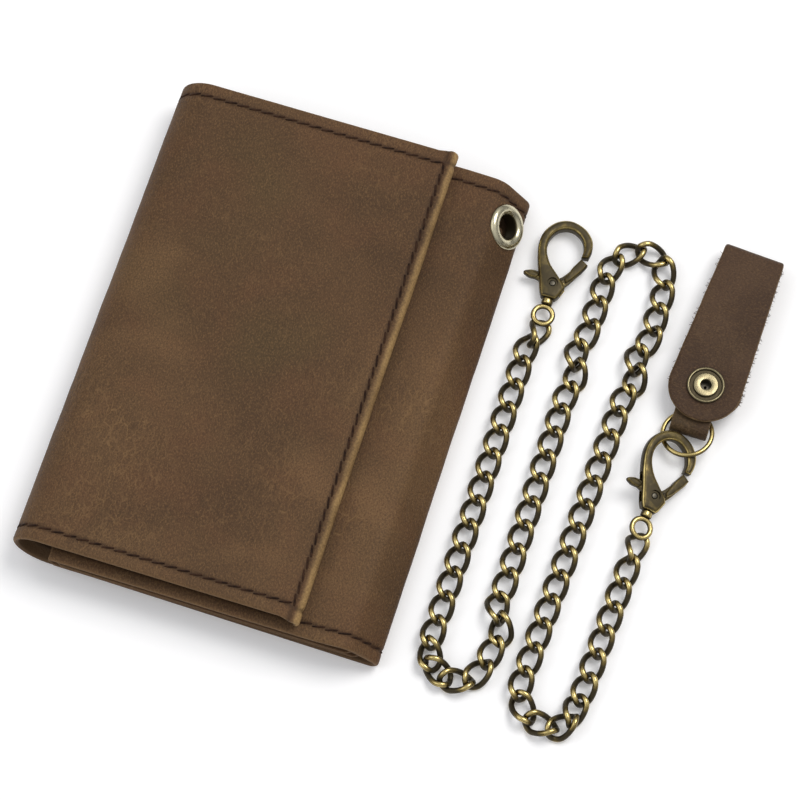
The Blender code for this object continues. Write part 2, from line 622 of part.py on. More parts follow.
def build_snap(frame):
    outer = SNAP_OUTSIDE / 2
    bore = SNAP_HOLE / 2
    post = SNAP_POST / 2
    top = STRAP_TOP + GAP / 2
    stud_top = FRONT_LEVEL - GAP / 2
    stud_low = STRAP_BACK_LEVEL + STRAP_LEATHER + 0.9
    flange = [(bore, top + 0.7), (bore + 0.5, top + 1.1), (bore + 1.2, top + 1.0),
              (outer - 1.6, top + 0.4), (outer - 0.6, top + 0.7), (outer, top + 0.35),
              (outer - 0.1, top), (post, top), (post, stud_top + GAP), (bore, stud_top + GAP)]
    turned("snap_flange", flange, PALE_BRASS, 0.3, 1.0, frame)
    stud = [(0.4, stud_top), (post + 1.1, stud_top), (post + 1.1, stud_top - 0.5),
            (1.7, stud_top - 0.6), (1.9, stud_low + 0.5), (1.4, stud_low), (0.4, stud_low)]
    turned("snap_stud", stud, PALE_BRASS, 0.35, 1.0, frame)
    socket_low = STRAP_BACK_LEVEL + STRAP_LEATHER + GAP / 2
    socket_top = stud_top - 0.9
    wall = 1.9 + SNAP_CLEARANCE
    socket = [(wall, socket_top), (wall + 0.6, socket_top + 0.1), (wall + 1.2, socket_top),
              (wall + 1.3, socket_low + 0.3), (outer - 0.8, socket_low + 0.2),
              (outer - 0.8, socket_low), (wall, socket_low)]
    turned("snap_socket", socket, PALE_BRASS, 0.35, 1.0, frame)
    cap_top = STRAP_BACK_LEVEL - GAP / 2
    cap_post = STRAP_BACK_LEVEL + STRAP_LEATHER - 0.2
    cap = [(0.4, cap_post), (post, cap_post), (post, cap_top), (outer, cap_top),
           (outer - 0.1, 0.4), (outer - 1.4, 0.0), (0.4, 0.0)]
    turned("snap_cap", cap, PALE_BRASS, 0.35, 1.0, frame)


def main():
    right_panel = build_covers()
    build_pockets()
    build_eyelet(right_panel)
    build_chain()
    build_end_links()
    build_clasp("clasp_1", CLASP_1_EYE, (0.0, 0.0, 0.0))
    lie = Matrix.Rotation(math.radians(CLASP_2_TURN), 3, "Z")
    roll = Matrix.Rotation(math.radians(CLASP_2_ROLL), 3, "Y")
    build_clasp("clasp_2", CLASP_2_EYE, (lie @ roll).to_euler())
    build_key_ring()
    strap = build_strap()
    build_snap(strap)
    bpy.context.view_layer.update()


main()
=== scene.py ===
"""Chain wallet: leather, stitching, curb chain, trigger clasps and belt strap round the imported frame."""
import math

import bmesh
import bpy
import numpy as np
from mathutils import Matrix, Vector, noise


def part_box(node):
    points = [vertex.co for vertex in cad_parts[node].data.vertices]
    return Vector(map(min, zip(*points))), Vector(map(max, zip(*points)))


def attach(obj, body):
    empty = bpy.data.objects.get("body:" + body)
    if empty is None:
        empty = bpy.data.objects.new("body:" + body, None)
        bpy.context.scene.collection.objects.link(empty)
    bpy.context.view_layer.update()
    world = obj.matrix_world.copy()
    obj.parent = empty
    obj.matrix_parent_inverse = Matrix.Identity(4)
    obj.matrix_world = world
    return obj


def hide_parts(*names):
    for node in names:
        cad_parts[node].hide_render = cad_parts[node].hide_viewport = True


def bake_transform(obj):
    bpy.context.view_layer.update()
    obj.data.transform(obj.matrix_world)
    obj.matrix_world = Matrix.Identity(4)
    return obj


bl_info = {
    "name": "Chain Wallet",
    "version": (1, 0, 0),
    "blender": (4, 5, 0),
    "location": "3D View > Sidebar > Wallet",
    "description": "Builds a folded leather wallet with its chain, clasps and belt strap",
    "category": "Object",
}

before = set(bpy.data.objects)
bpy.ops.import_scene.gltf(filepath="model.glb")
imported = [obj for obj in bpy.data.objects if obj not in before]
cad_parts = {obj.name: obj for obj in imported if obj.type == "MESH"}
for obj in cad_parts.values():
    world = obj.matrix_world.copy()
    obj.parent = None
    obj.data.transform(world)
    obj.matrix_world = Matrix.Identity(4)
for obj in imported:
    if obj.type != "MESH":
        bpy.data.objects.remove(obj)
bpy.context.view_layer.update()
MM = 0.001

# Folded wallet, read from the frame (metres)
BACK_LOW, BACK_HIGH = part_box("back_cover")
FLAP_LOW, FLAP_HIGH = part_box("flap_cover")
SPINE_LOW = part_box("left_spine")[0]
PANEL_LOW, PANEL_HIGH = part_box("right_panel_cover")
RIGHT_LOW, RIGHT_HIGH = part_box("right_spine")
HIDE = 1.5 * MM                              # outer leather
BEND_STEP = 0.3 * MM                         # rows of points round a fold
FLAP_TOP = FLAP_HIGH.z
PANEL_TOP = PANEL_HIGH.z
FOLD_RADIUS = FLAP_TOP / 2
FOLD_X = SPINE_LOW.x + FOLD_RADIUS
RIGHT_X = RIGHT_HIGH.x

# Right fold
SHOULDER_SLOPE = math.radians(48.0)
SHOULDER_FOOT = 3.0 * MM
SHOULDER_CROWN = 4.0 * MM

# Chain route over the table (mm), from clasp 1 to clasp 2, as in the frame
CHAIN_ROUTE = [
    (58.2, 25.0), (57.3, 18.0), (57.3, 2.0), (57.3, -18.0), (57.4, -38.0), (57.5, -52.0),
    (59.3, -59.5), (65.6, -62.6), (70.4, -59.0), (72.2, -52.5), (71.4, -44.0), (70.3, -36.0),
    (70.3, -18.0), (70.3, 0.0), (70.4, 16.0), (70.5, 26.0), (71.0, 36.0), (71.1, 46.0),
    (72.3, 54.0), (77.4, 59.2), (83.0, 57.6), (85.8, 50.6), (86.3, 42.0), (85.5, 30.0),
    (84.4, 19.0), (83.8, 5.0), (83.2, -10.0), (82.6, -25.0), (82.0, -40.0), (81.4, -54.0),
    (82.8, -62.2), (88.4, -66.2), (94.2, -62.4), (96.2, -54.0), (96.7, -42.0), (97.3, -30.0),
    (97.7, -21.9),
]
# How the links lie on it: links in the run, where its last link lies (mm), and its roll in degrees
LINK_RUNS = [
    (1, 58.8, 29.95, 66), (1, 57.3, 25.1, 0), (12, 57.3, -52.5, 0), (1, 58.2, -58.3, -35),
    (1, 61.0, -61.6, -40), (1, 66.0, -62.6, 0), (1, 70.6, -59.1, 0), (1, 72.0, -53.1, 0),
    (1, 72.8, -46.9, 28), (1, 70.2, -42.2, -28), (1, 70.35, -35.6, 0), (8, 70.35, 15.7, 0),
    (1, 71.4, 22.2, 20), (1, 69.6, 27.4, -20), (1, 70.9, 33.6, 0), (3, 71.3, 52.7, 0),
    (1, 74.9, 57.9, 0), (1, 80.8, 59.5, 0), (1, 84.8, 55.5, 0), (1, 86.1, 49.0, 0),
    (2, 86.3, 36.6, 0), (1, 84.3, 30.6, 20), (1, 86.0, 25.4, -20), (1, 84.3, 19.4, 0),
    (12, 81.3, -58.4, 0), (1, 83.4, -64.3, 0), (1, 89.0, -66.6, 0), (1, 93.9, -65.6, 30),
    (1, 95.2, -61.0, -30), (1, 96.2, -55.2, 0), (5, 97.7, -23.5, 0), (1, 98.1, -17.15, -45),
]
CLASP_1_EYE = (58.8, 34.9, 2.8)              # middle of each swivel eye (mm)
CLASP_2_EYE = (98.1, -12.2, 3.7)
EYE_TO_CHAIN = 1.6                           # how far the chain's line starts from an eye's middle (mm)
ROUTE_HEIGHT = 2.4                           # height of the chain's line (mm)
CLASP_2_TURN = math.radians(-4.0)
CLASP_2_ROLL = math.radians(20.0)

# Belt strap, laid along Y with its snap at SNAP_XY
SNAP_XY = (103.2, 27.5)                      # mm
STRAP_TURN = math.radians(-3.5)
STRAP_TIP = 9.35 * MM                        # snap to the rounded tip
STRAP_HEAD = 36.45 * MM                      # snap to the start of the fold
STRAP_TOP, STRAP_FOOT = 6.8 * MM, 1.2 * MM   # outer faces of the two plies


# ---------------------------------------------------------------- arithmetic

def arc(centre, radius, start, end, steps):
    """Points on an arc, angles in degrees."""
    turn = np.radians(np.linspace(start, end, steps + 1))
    return [(centre[0] + radius * math.cos(a), centre[1] + radius * math.sin(a)) for a in turn]


def smooth_line(points, steps):
    """Catmull-Rom curve through points of any dimension."""
    points = np.asarray(points, float)
    padded = np.vstack([2 * points[0] - points[1], points, 2 * points[-1] - points[-2]])
    t = np.linspace(0.0, 1.0, steps, endpoint=False)[:, None]
    path = []
    for a, b, c, d in zip(padded, padded[1:], padded[2:], padded[3:]):
        path.append((2 * b + (c - a) * t + (2 * a - 5 * b + 4 * c - d) * t ** 2
                     + (3 * b - a - 3 * c + d) * t ** 3) / 2)
    return np.vstack(path + [points[-1:]])


def ease(x):
    """Smooth step from 0 to 1."""
    x = np.clip(x, 0.0, 1.0)
    return x * x * (3 - 2 * x)


def lengths_along(line):
    """Distance of every point from the start of its line."""
    steps = np.linalg.norm(np.diff(line, axis=0), axis=1)
    return np.concatenate([[0.0], np.cumsum(steps)])


def edge_rows(size, rounding, step, close=()):
    """Places across a width: crowded in both rounded edges and at the distances in close."""
    curl = rounding * (1 - np.cos(np.linspace(0.0, math.pi / 2, 5)))
    near = np.unique(np.round(np.concatenate([curl, close]), 7))
    count = max(2, int((size - 2 * near[-1]) / step))
    middle = np.linspace(near[-1], size - near[-1], count + 1)[1:-1]
    return np.concatenate([near, middle, size - near[::-1]])


def wave(x, y, scale, seed):
    """Smooth unevenness between -1 and 1 over a flat piece."""
    flat = np.column_stack([np.ravel(x), np.ravel(y)]) / scale
    values = [noise.noise((a, b, seed)) for a, b in flat]
    return np.array(values).reshape(np.shape(x))


# ---------------------------------------------------------------- pieces of mesh

def mesh_piece(name, points, faces, material, smooth=True):
    """A new piece from its points and faces."""
    mesh = bpy.data.meshes.new(name)
    mesh.from_pydata([tuple(p) for p in points], [], [tuple(f) for f in faces])
    mesh.validate()
    mesh.update()
    piece = bpy.data.objects.new(name, mesh)
    bpy.context.scene.collection.objects.link(piece)
    mesh.materials.append(material)
    mesh.polygons.foreach_set("use_smooth", [smooth] * len(mesh.polygons))
    return piece


def shape_piece(name, shape):
    """A new piece from a bmesh, which is freed."""
    mesh = bpy.data.meshes.new(name)
    shape.to_mesh(mesh)
    shape.free()
    piece = bpy.data.objects.new(name, mesh)
    bpy.context.scene.collection.objects.link(piece)
    return piece


def mark(piece, name, values, kind="FLOAT"):
    """Stores one value for each point, which the materials read."""
    layer = piece.data.attributes.new(name, kind, "POINT")
    key = "vector" if kind == "FLOAT_VECTOR" else "value"
    layer.data.foreach_set(key, np.ravel(np.asarray(values, np.float32)))
    return piece


class Hide:
    """A piece of leather bent along a line in X and Z, with rounded cut edges.

    low and high give its two side edges in Y at a distance along the line. lump raises its
    surface. The line runs so that the outer face is on its left.
    """

    def __init__(self, line, low, high, thick, step=1.0 * MM, lump=None, round_ends=(True, True),
                 close=(), corner=(0.0, 0.0), close_ends=(), bends=(), marks=None):
        self.line = np.asarray(line, float)
        self.along = lengths_along(self.line)
        self.size = self.along[-1]
        self.low, self.high = low, high
        self.thick = thick
        self.lump = lump or (lambda s, y: np.zeros(np.shape(s)))
        self.round_ends = round_ends
        self.corner = corner
        self.marks = marks or {}
        rows = [edge_rows(self.size, thick / 2, step, close_ends)]
        rows += [np.arange(a, b, BEND_STEP) for a, b in bends]
        rows = np.sort(np.concatenate(rows))
        self.rows = rows[np.concatenate([[True], np.diff(rows) > 0.02 * MM])]
        width = float(high(np.array([0.0]))[0] - low(np.array([0.0]))[0])
        self.columns = edge_rows(width, thick / 2, step, close)
        self.width = width

    def place(self, s):
        """X and Z of the middle line at a distance along it."""
        return [np.interp(s, self.along, self.line[:, axis]) for axis in (0, 1)]

    def frame_at(self, s):
        """Middle line point and outward direction."""
        (x, z), near = self.place(s), 0.15 * MM
        dx, dz = (ahead - behind for ahead, behind in zip(self.place(s + near), self.place(s - near)))
        size = np.hypot(dx, dz)
        return x, z, -dz / size, dx / size

    def edges(self, s):
        """Its two side edges, drawn in at the rounded corners."""
        low, high = self.low(s), self.high(s)
        for end, radius in zip((s, self.size - s), self.corner):
            if radius:
                reach = np.clip(end, 0.0, radius)
                cut = radius - np.sqrt(np.maximum(radius ** 2 - (radius - reach) ** 2, 0.0))
                low, high = low + cut, high - cut
        return low, high

    def surface(self, s, y, lift=0.0):
        """A place on the outer face, lift metres above it."""
        s, y = np.asarray(s, float), np.asarray(y, float)
        x, z, nx, nz = self.frame_at(s)
        up = self.thick / 2 + self.lump(s, y) + lift
        return np.stack([x + nx * up, y, z + nz * up], axis=-1)

    def build(self, name, material):
        """The hide's mesh, with marks for its place, cut edges and grain side."""
        s = self.rows[:, None] + 0 * self.columns[None]
        low, high = self.edges(s)
        share = self.columns[None] / self.width
        near_low = self.columns[None] < self.width * 0.2
        near_high = self.columns[None] > self.width * 0.8
        even = low + (high - low) * share
        squeeze = (high - low) / self.width
        fit = np.minimum(squeeze, 1.0)
        y = np.where(near_low, low + self.columns[None] * fit, even)
        y = np.where(near_high, high - (self.width - self.columns[None]) * fit, y)
        start = s if self.round_ends[0] else s + 1.0
        stop = self.size - s if self.round_ends[1] else self.size - s + 1.0
        border = np.minimum(np.minimum(start, stop), np.minimum(y - low, high - y))
        border = np.maximum(border, 0.0)
        half = self.thick / 2
        curl = lambda d: np.sqrt(np.maximum(1 - (1 - np.clip(d / half, 0, 1)) ** 2, 0.0))
        swell = curl(np.minimum(start, stop)) * curl(np.minimum(y - low, high - y)) * half
        x, z, nx, nz = self.frame_at(s)
        up = self.lump(s, y)
        top = np.stack([x + nx * (up + swell), y, z + nz * (up + swell)], -1).reshape(-1, 3)
        bottom = np.stack([x + nx * (up - swell), y, z + nz * (up - swell)], -1).reshape(-1, 3)
        n, m = s.shape
        index = np.arange(n * m).reshape(n, m)
        shared = (swell < 1e-7)
        under = np.where(shared, index, 0)
        under[~shared] = n * m + np.arange((~shared).sum())
        points = np.vstack([top, bottom[(~shared).ravel()]])
        quads = []
        for grid, flip in ((index, False), (under, True)):
            a, b, c, d = grid[:-1, :-1], grid[1:, :-1], grid[1:, 1:], grid[:-1, 1:]
            corners = (a, b, c, d) if flip else (a, d, c, b)
            quads.append(np.stack([q.ravel() for q in corners], -1))
        for row, flip in ((0, True), (n - 1, False)):
            if not self.round_ends[0 if row == 0 else 1]:
                a, b = index[row, :-1], index[row, 1:]
                c, d = under[row, 1:], under[row, :-1]
                end = np.stack([a, b, c, d] if flip else [a, d, c, b], -1)
                quads.append(end)
        faces = []
        for face in np.vstack(quads):
            kept = list(dict.fromkeys(int(i) for i in face))
            if len(kept) > 2:
                faces.append(kept)
        piece = mesh_piece(name, points, faces, material)
        flat = np.stack([s, y, 0 * s], -1).reshape(-1, 3)
        flesh = flat[(~shared).ravel()] + np.array([0.0, 0.0, 0.02])
        mark(piece, "hide_place", np.vstack([flat, flesh]), "FLOAT_VECTOR")
        cut = border.ravel()
        mark(piece, "cut_distance", np.concatenate([cut, cut[(~shared).ravel()]]))
        ends = np.minimum(start, stop).ravel()
        mark(piece, "end_distance", np.concatenate([ends, ends[(~shared).ravel()]]))
        side = np.where(shared, 0.0, 1.0).ravel()
        mark(piece, "grain_side", np.concatenate([side, -np.ones((~shared).sum())]))
        for key, value in self.marks.items():
            value = value(s, y)
            mark(piece, key, np.concatenate([value.ravel(), value[~shared].ravel()]))
        return piece


def tube_points(path, radius, sides, closed=True, up=None):
    """Rings of points round a path of positions; radius may change along it."""
    path = np.asarray(path, float)
    if closed:
        ahead = np.roll(path, -1, 0) - np.roll(path, 1, 0)
    else:
        ahead = np.gradient(path, axis=0)
    ahead /= np.linalg.norm(ahead, axis=1)[:, None]
    side = np.zeros_like(path)
    first = np.array(up if up is not None else (0.0, 0.0, 1.0))
    if abs(first @ ahead[0]) > 0.9:
        first = np.array([1.0, 0.0, 0.0])
    vector = first - ahead[0] * (first @ ahead[0])
    for i in range(len(path)):
        vector = vector - ahead[i] * (vector @ ahead[i])
        vector /= np.linalg.norm(vector)
        side[i] = vector
    if closed:
        last = side[-1] - ahead[0] * (side[-1] @ ahead[0])
        slip = math.atan2(np.cross(last, side[0]) @ ahead[0], last @ side[0])
        for i in range(len(path)):
            a = slip * i / len(path)
            side[i] = side[i] * math.cos(a) + np.cross(ahead[i], side[i]) * math.sin(a)
    third = np.cross(ahead, side)
    turn = np.linspace(0.0, 2 * math.pi, sides, endpoint=False)
    radius = np.broadcast_to(np.asarray(radius, float), (len(path),))
    spokes = (side[:, None] * np.cos(turn)[None, :, None]
              + third[:, None] * np.sin(turn)[None, :, None])
    return path[:, None] + radius[:, None, None] * spokes


def tube_faces(rings, sides, offset=0, closed=True):
    """Faces between rings of points, with caps on an open tube."""
    faces = []
    last = rings if closed else rings - 1
    for i in range(last):
        j = (i + 1) % rings
        for k in range(sides):
            m = (k + 1) % sides
            faces.append((offset + i * sides + k, offset + i * sides + m,
                          offset + j * sides + m, offset + j * sides + k))
    if not closed:
        faces.append(tuple(offset + k for k in reversed(range(sides))))
        faces.append(tuple(offset + (rings - 1) * sides + k for k in range(sides)))
    return faces


def turned_piece(name, profile, material, steps=72):
    """A closed outline of radius and height (mm) turned about Z."""
    profile = np.asarray(profile, float) * MM
    turn = np.linspace(0.0, 2 * math.pi, steps, endpoint=False)
    rings = np.stack([profile[None, :, 0] * np.cos(turn)[:, None],
                      profile[None, :, 0] * np.sin(turn)[:, None],
                      np.broadcast_to(profile[None, :, 1], (steps, len(profile)))], -1)
    return mesh_piece(name, rings.reshape(-1, 3), tube_faces(steps, len(profile)), material)


def rounded_plate(name, outline, thick, rounding, material, steps=3):
    """A flat outline (mm) in X and Y with its thickness about Z = 0 and rounded edges."""
    curve = bpy.data.curves.new(name, "CURVE")
    curve.dimensions = "2D"
    curve.fill_mode = "BOTH"
    spline = curve.splines.new("POLY")
    spline.points.add(len(outline) - 1)
    for point, place in zip(spline.points, outline):
        point.co = (place[0] * MM, place[1] * MM, 0.0, 1.0)
    spline.use_cyclic_u = True
    curve.extrude = (thick / 2 - rounding) * MM
    curve.bevel_depth = rounding * MM
    curve.bevel_resolution = steps
    curve.offset = -rounding * MM
    guide = bpy.data.objects.new(name + "_outline", curve)
    bpy.context.scene.collection.objects.link(guide)
    bpy.context.view_layer.update()
    mesh = bpy.data.meshes.new_from_object(guide.evaluated_get(bpy.context.evaluated_depsgraph_get()))
    bpy.data.objects.remove(guide, do_unlink=True)
    shape = bmesh.new()
    shape.from_mesh(mesh)
    bmesh.ops.remove_doubles(shape, verts=shape.verts, dist=1e-6)
    bmesh.ops.recalc_face_normals(shape, faces=shape.faces)
    shape.to_mesh(mesh)
    shape.free()
    mesh.materials.clear()
    mesh.materials.append(material)
    piece = bpy.data.objects.new(name, mesh)
    bpy.context.scene.collection.objects.link(piece)
    return piece


def cut_away(piece, other):
    """Cuts one piece out of another, and removes it."""
    step = piece.modifiers.new("cut", "BOOLEAN")
    step.operation = "DIFFERENCE"
    step.solver = "EXACT"
    step.object = other
    bpy.context.view_layer.update()
    mesh = bpy.data.meshes.new_from_object(piece.evaluated_get(bpy.context.evaluated_depsgraph_get()))
    piece.modifiers.clear()
    piece.data = mesh
    bpy.data.objects.remove(other, do_unlink=True)
    return piece


def shade_by_angle(piece, degrees=35.0):
    """Smooth faces with the corners sharper than an angle kept."""
    piece.data.polygons.foreach_set("use_smooth", [True] * len(piece.data.polygons))
    piece.data.set_sharp_from_angle(angle=math.radians(degrees))
    return piece


# ---------------------------------------------------------------- materials

class Nodes:
    """Short hand for wiring a procedural material."""

    def __init__(self, name):
        self.material = bpy.data.materials.new(name)
        self.material.use_nodes = True
        self.tree = self.material.node_tree
        self.shader = self.tree.nodes["Principled BSDF"]

    def add(self, kind, **values):
        node = self.tree.nodes.new(kind)
        for key, value in values.items():
            if key in node.inputs.keys():
                node.inputs[key].default_value = value
            else:
                setattr(node, key, value)
        return node

    def link(self, out, into):
        self.tree.links.new(out, into)
        return out

    def attribute(self, name):
        return self.add("ShaderNodeAttribute", attribute_name=name)

    def noise(self, place, scale, detail=3.0, roughness=0.55, distortion=0.0):
        """Cloudy noise between 0 and 1."""
        node = self.add("ShaderNodeTexNoise", Scale=scale, Detail=detail, Roughness=roughness,
                        Distortion=distortion)
        self.link(place, node.inputs["Vector"])
        return node.outputs["Fac"]

    def cells(self, place, scale, feature="F1"):
        """Distance in a pattern of cells."""
        node = self.add("ShaderNodeTexVoronoi", Scale=scale, feature=feature)
        self.link(place, node.inputs["Vector"])
        return node.outputs["Distance"]

    def ramp(self, value, low, high, from_value=0.0, to_value=1.0):
        """A value eased from one range to another."""
        node = self.add("ShaderNodeMapRange", interpolation_type="SMOOTHSTEP")
        self.link(value, node.inputs["Value"])
        for key, number in (("From Min", low), ("From Max", high), ("To Min", from_value),
                            ("To Max", to_value)):
            node.inputs[key].default_value = number
        return node.outputs["Result"]

    def math(self, operation, a, b=None):
        """Arithmetic on sockets or numbers."""
        node = self.add("ShaderNodeMath", operation=operation)
        for socket, value in zip(node.inputs, (a, b)):
            if value is None:
                continue
            if isinstance(value, (int, float)):
                socket.default_value = value
            else:
                self.link(value, socket)
        return node.outputs[0]

    def mix(self, factor, first, second, blend="MIX"):
        """One colour mixed into another."""
        node = self.add("ShaderNodeMix", data_type="RGBA", blend_type=blend)
        for socket, value in ((node.inputs["Factor"], factor), (node.inputs[6], first),
                              (node.inputs[7], second)):
            if isinstance(value, (int, float)):
                socket.default_value = value
            elif isinstance(value, tuple):
                socket.default_value = (*value, 1.0)
            else:
                self.link(value, socket)
        return node.outputs[2]

    def tinted(self, color, mask, amount, tone):
        """The colour turned towards a tone where the mask says, by an amount."""
        return self.mix(self.math("MULTIPLY", mask, amount), color, tone)

    def stretch(self, place, scale, turn=0.0):
        """A place scaled along its axes and turned."""
        node = self.add("ShaderNodeMapping")
        node.inputs["Scale"].default_value = scale
        node.inputs["Rotation"].default_value = (0.0, 0.0, turn)
        self.link(place, node.inputs["Vector"])
        return node.outputs["Vector"]

    def bump(self, height, strength, distance, under=None):
        """A height as a surface normal, over another one."""
        node = self.add("ShaderNodeBump", Strength=strength, Distance=distance)
        self.link(height, node.inputs["Height"])
        if under is not None:
            self.link(under, node.inputs["Normal"])
        return node.outputs["Normal"]

    def finish(self, color=None, roughness=None, normal=None, **fixed):
        """Wires the shader; uniform values go on its own sockets."""
        for key, value in (("Base Color", color), ("Roughness", roughness), ("Normal", normal)):
            if value is not None:
                self.link(value, self.shader.inputs[key])
        for key, value in fixed.items():
            self.shader.inputs[key.replace("_", " ")].default_value = value
        return self.material


def pull_up_leather(name, look, crackle, wear_edge, seed):
    """Oiled leather: cloudy browns, a speckled nap, fine wrinkles and worn cut edges, with painted pools of
    light, a painted highlight on the turned edge and painted shade along the seams.

    The hide_place mark gives the place on the flat hide, so the pattern follows a bend.
    """
    n = Nodes(name)
    place = n.attribute("hide_place").outputs["Vector"]
    shifted = n.add("ShaderNodeVectorMath", operation="ADD")
    shifted.inputs[1].default_value = (seed, seed * 0.7, 0.0)
    n.link(place, shifted.inputs[0])
    place = shifted.outputs["Vector"]
    cloud = n.noise(place, 26.0, 4.0, 0.6, 0.6)
    patch = n.noise(place, 58.0, 3.0, 0.6, 0.3)
    nap = n.noise(place, 2600.0, 2.0, 0.7)
    slanted = n.stretch(place, (1.0, 0.62, 1.0), look["grain_turn"])
    fibre = n.noise(slanted, 2700.0, 2.0, 0.65, 0.5)
    pores = n.cells(place, 1500.0)
    color = n.mix(n.ramp(cloud, 0.32, 0.68), look["dark"], look["base"])
    color = n.tinted(color, n.ramp(patch, 0.42, 0.70), 0.5, look["red"])
    olive = n.noise(place, 17.0, 2.0, 0.5, 0.2)
    color = n.tinted(color, n.ramp(olive, 0.48, 0.68), 0.7, look["olive"])
    pale = n.noise(place, 21.0, 2.0, 0.5, 1.2)
    rub = n.math("MULTIPLY", n.ramp(pale, 0.54, 0.74), n.ramp(nap, 0.35, 0.72, 0.25, 1.0))
    color = n.tinted(color, rub, 0.40, look["light"])
    # lighter where the hide is worn along its side edges, and painted pools of light on the panel and the
    # flap
    rubbed_and_lit = n.attribute("rubbed_and_lit").outputs["Fac"]
    handled_and_lit = n.math("MULTIPLY", rubbed_and_lit, n.ramp(nap, 0.3, 0.7, 0.35, 1.0))
    color = n.tinted(color, handled_and_lit, 0.34, look["light"])

    # nap: pale and dark flecks a third of a millimetre wide
    speck = n.ramp(fibre, 0.50, 0.66)
    color = n.tinted(color, speck, look["fleck"], look["light"])
    shade = n.ramp(fibre, 0.34, 0.5, 1.0, 0.0)
    color = n.tinted(color, shade, look["fleck"], look["deep"])
    dust = n.ramp(nap, 0.60, 0.70)
    color = n.tinted(color, dust, 0.35, look["light"])

    # wrinkles: fine ragged lines, in patches
    warped = n.add("ShaderNodeVectorMath", operation="ADD")
    sway = n.add("ShaderNodeTexNoise", Scale=420.0, Detail=3.0)
    n.link(place, sway.inputs["Vector"])
    small = n.add("ShaderNodeVectorMath", operation="SCALE", Scale=0.0020)
    n.link(sway.outputs["Color"], small.inputs[0])
    n.link(place, warped.inputs[0])
    n.link(small.outputs["Vector"], warped.inputs[1])
    drawn = n.stretch(warped.outputs["Vector"], (1.0, 0.30, 1.0), look["crEASE_TURN"])
    net = n.cells(drawn, 620.0, "DISTANCE_TO_EDGE")
    line = n.ramp(net, 0.0, 0.10, 1.0, 0.0)
    where = n.noise(place, 30.0, 3.0, 0.6, 0.5)
    creased = n.ramp(where, crackle["from"], crackle["full"])
    # more light wrinkles along the worn edges and in the painted pools of light
    creased = n.math("MULTIPLY", creased, n.math("ADD", rubbed_and_lit, 0.55))
    lines = n.math("MULTIPLY", line, creased)
    lines = n.math("MULTIPLY", lines, n.ramp(n.noise(place, 260.0, 2.0), 0.34, 0.6, 0.15, 1.0))
    color = n.tinted(color, lines, crackle["strength"], look["light"])
    hollow = n.math("MULTIPLY", n.ramp(net, 0.25, 0.5), creased)
    color = n.tinted(color, hollow, crackle["strength"] * 0.5, look["deep"])

    # scratches: long thin pale strokes
    scratch_place = n.stretch(place, (1.0, 0.05, 1.0), look["grain_turn"] + 0.5)
    stroke = n.ramp(n.noise(scratch_place, 420.0, 1.0, 0.5, 0.15), 0.745, 0.775)
    color = n.tinted(color, stroke, 0.30, look["light"])

    # cut edges: burnished, lightest on the corner; the turned edge: stretched leather made lighter, with a
    # painted highlight along its crest
    cut = n.attribute("cut_distance").outputs["Fac"]
    rim = n.ramp(cut, 0.0, wear_edge["reach"], 1.0, 0.0)
    rim = n.math("MULTIPLY", rim, n.ramp(nap, 0.2, 0.7, 0.45, 1.0))
    color = n.tinted(color, rim, wear_edge["strength"], look["edge"])
    turned = n.attribute("turned_edge").outputs["Fac"]
    worn_and_highlit = n.math("MULTIPLY", turned, n.ramp(patch, 0.30, 0.62, 0.45, 0.95))
    worn_and_highlit = n.math("MULTIPLY", worn_and_highlit, n.ramp(fibre, 0.3, 0.7, 0.55, 1.0))
    color = n.mix(worn_and_highlit, color, look["gold"])
    side = n.attribute("grain_side").outputs["Fac"]
    flesh = n.ramp(side, -0.6, 0.0, 1.0, 0.0)
    color = n.tinted(color, flesh, 0.8, look["flesh"])
    # painted shade along each seam: the leather darkened in the dent beside the thread
    seam_painted_shade = n.attribute("stitch_shade").outputs["Fac"]
    color = n.tinted(color, seam_painted_shade, 0.6, look["deep"])

    rough = n.ramp(fibre, 0.2, 0.8, look["rough"] - 0.06, look["rough"] + 0.12)
    normal = n.bump(pores, 0.30, 0.00012)
    normal = n.bump(fibre, 0.75, 0.00022, normal)
    normal = n.bump(nap, 0.45, 0.00014, normal)
    normal = n.bump(lines, 0.55, 0.00018, normal)
    normal = n.bump(cloud, 0.35, 0.0008, normal)
    return n.finish(color, rough, normal, Specular_IOR_Level=0.20)


def thread_fibre(name, color_dark, color_light):
    """Waxed thread: twisted plies."""
    n = Nodes(name)
    place = n.add("ShaderNodeTexCoord").outputs["Object"]
    twist = n.noise(place, 2600.0, 2.0)
    plies = n.noise(place, 700.0, 2.0)
    color = n.mix(n.ramp(plies, 0.35, 0.65), color_dark, color_light)
    normal = n.bump(twist, 0.6, 0.0001)
    return n.finish(color, n.ramp(twist, 0.2, 0.8, 0.65, 0.85), normal, Specular_IOR_Level=0.15)


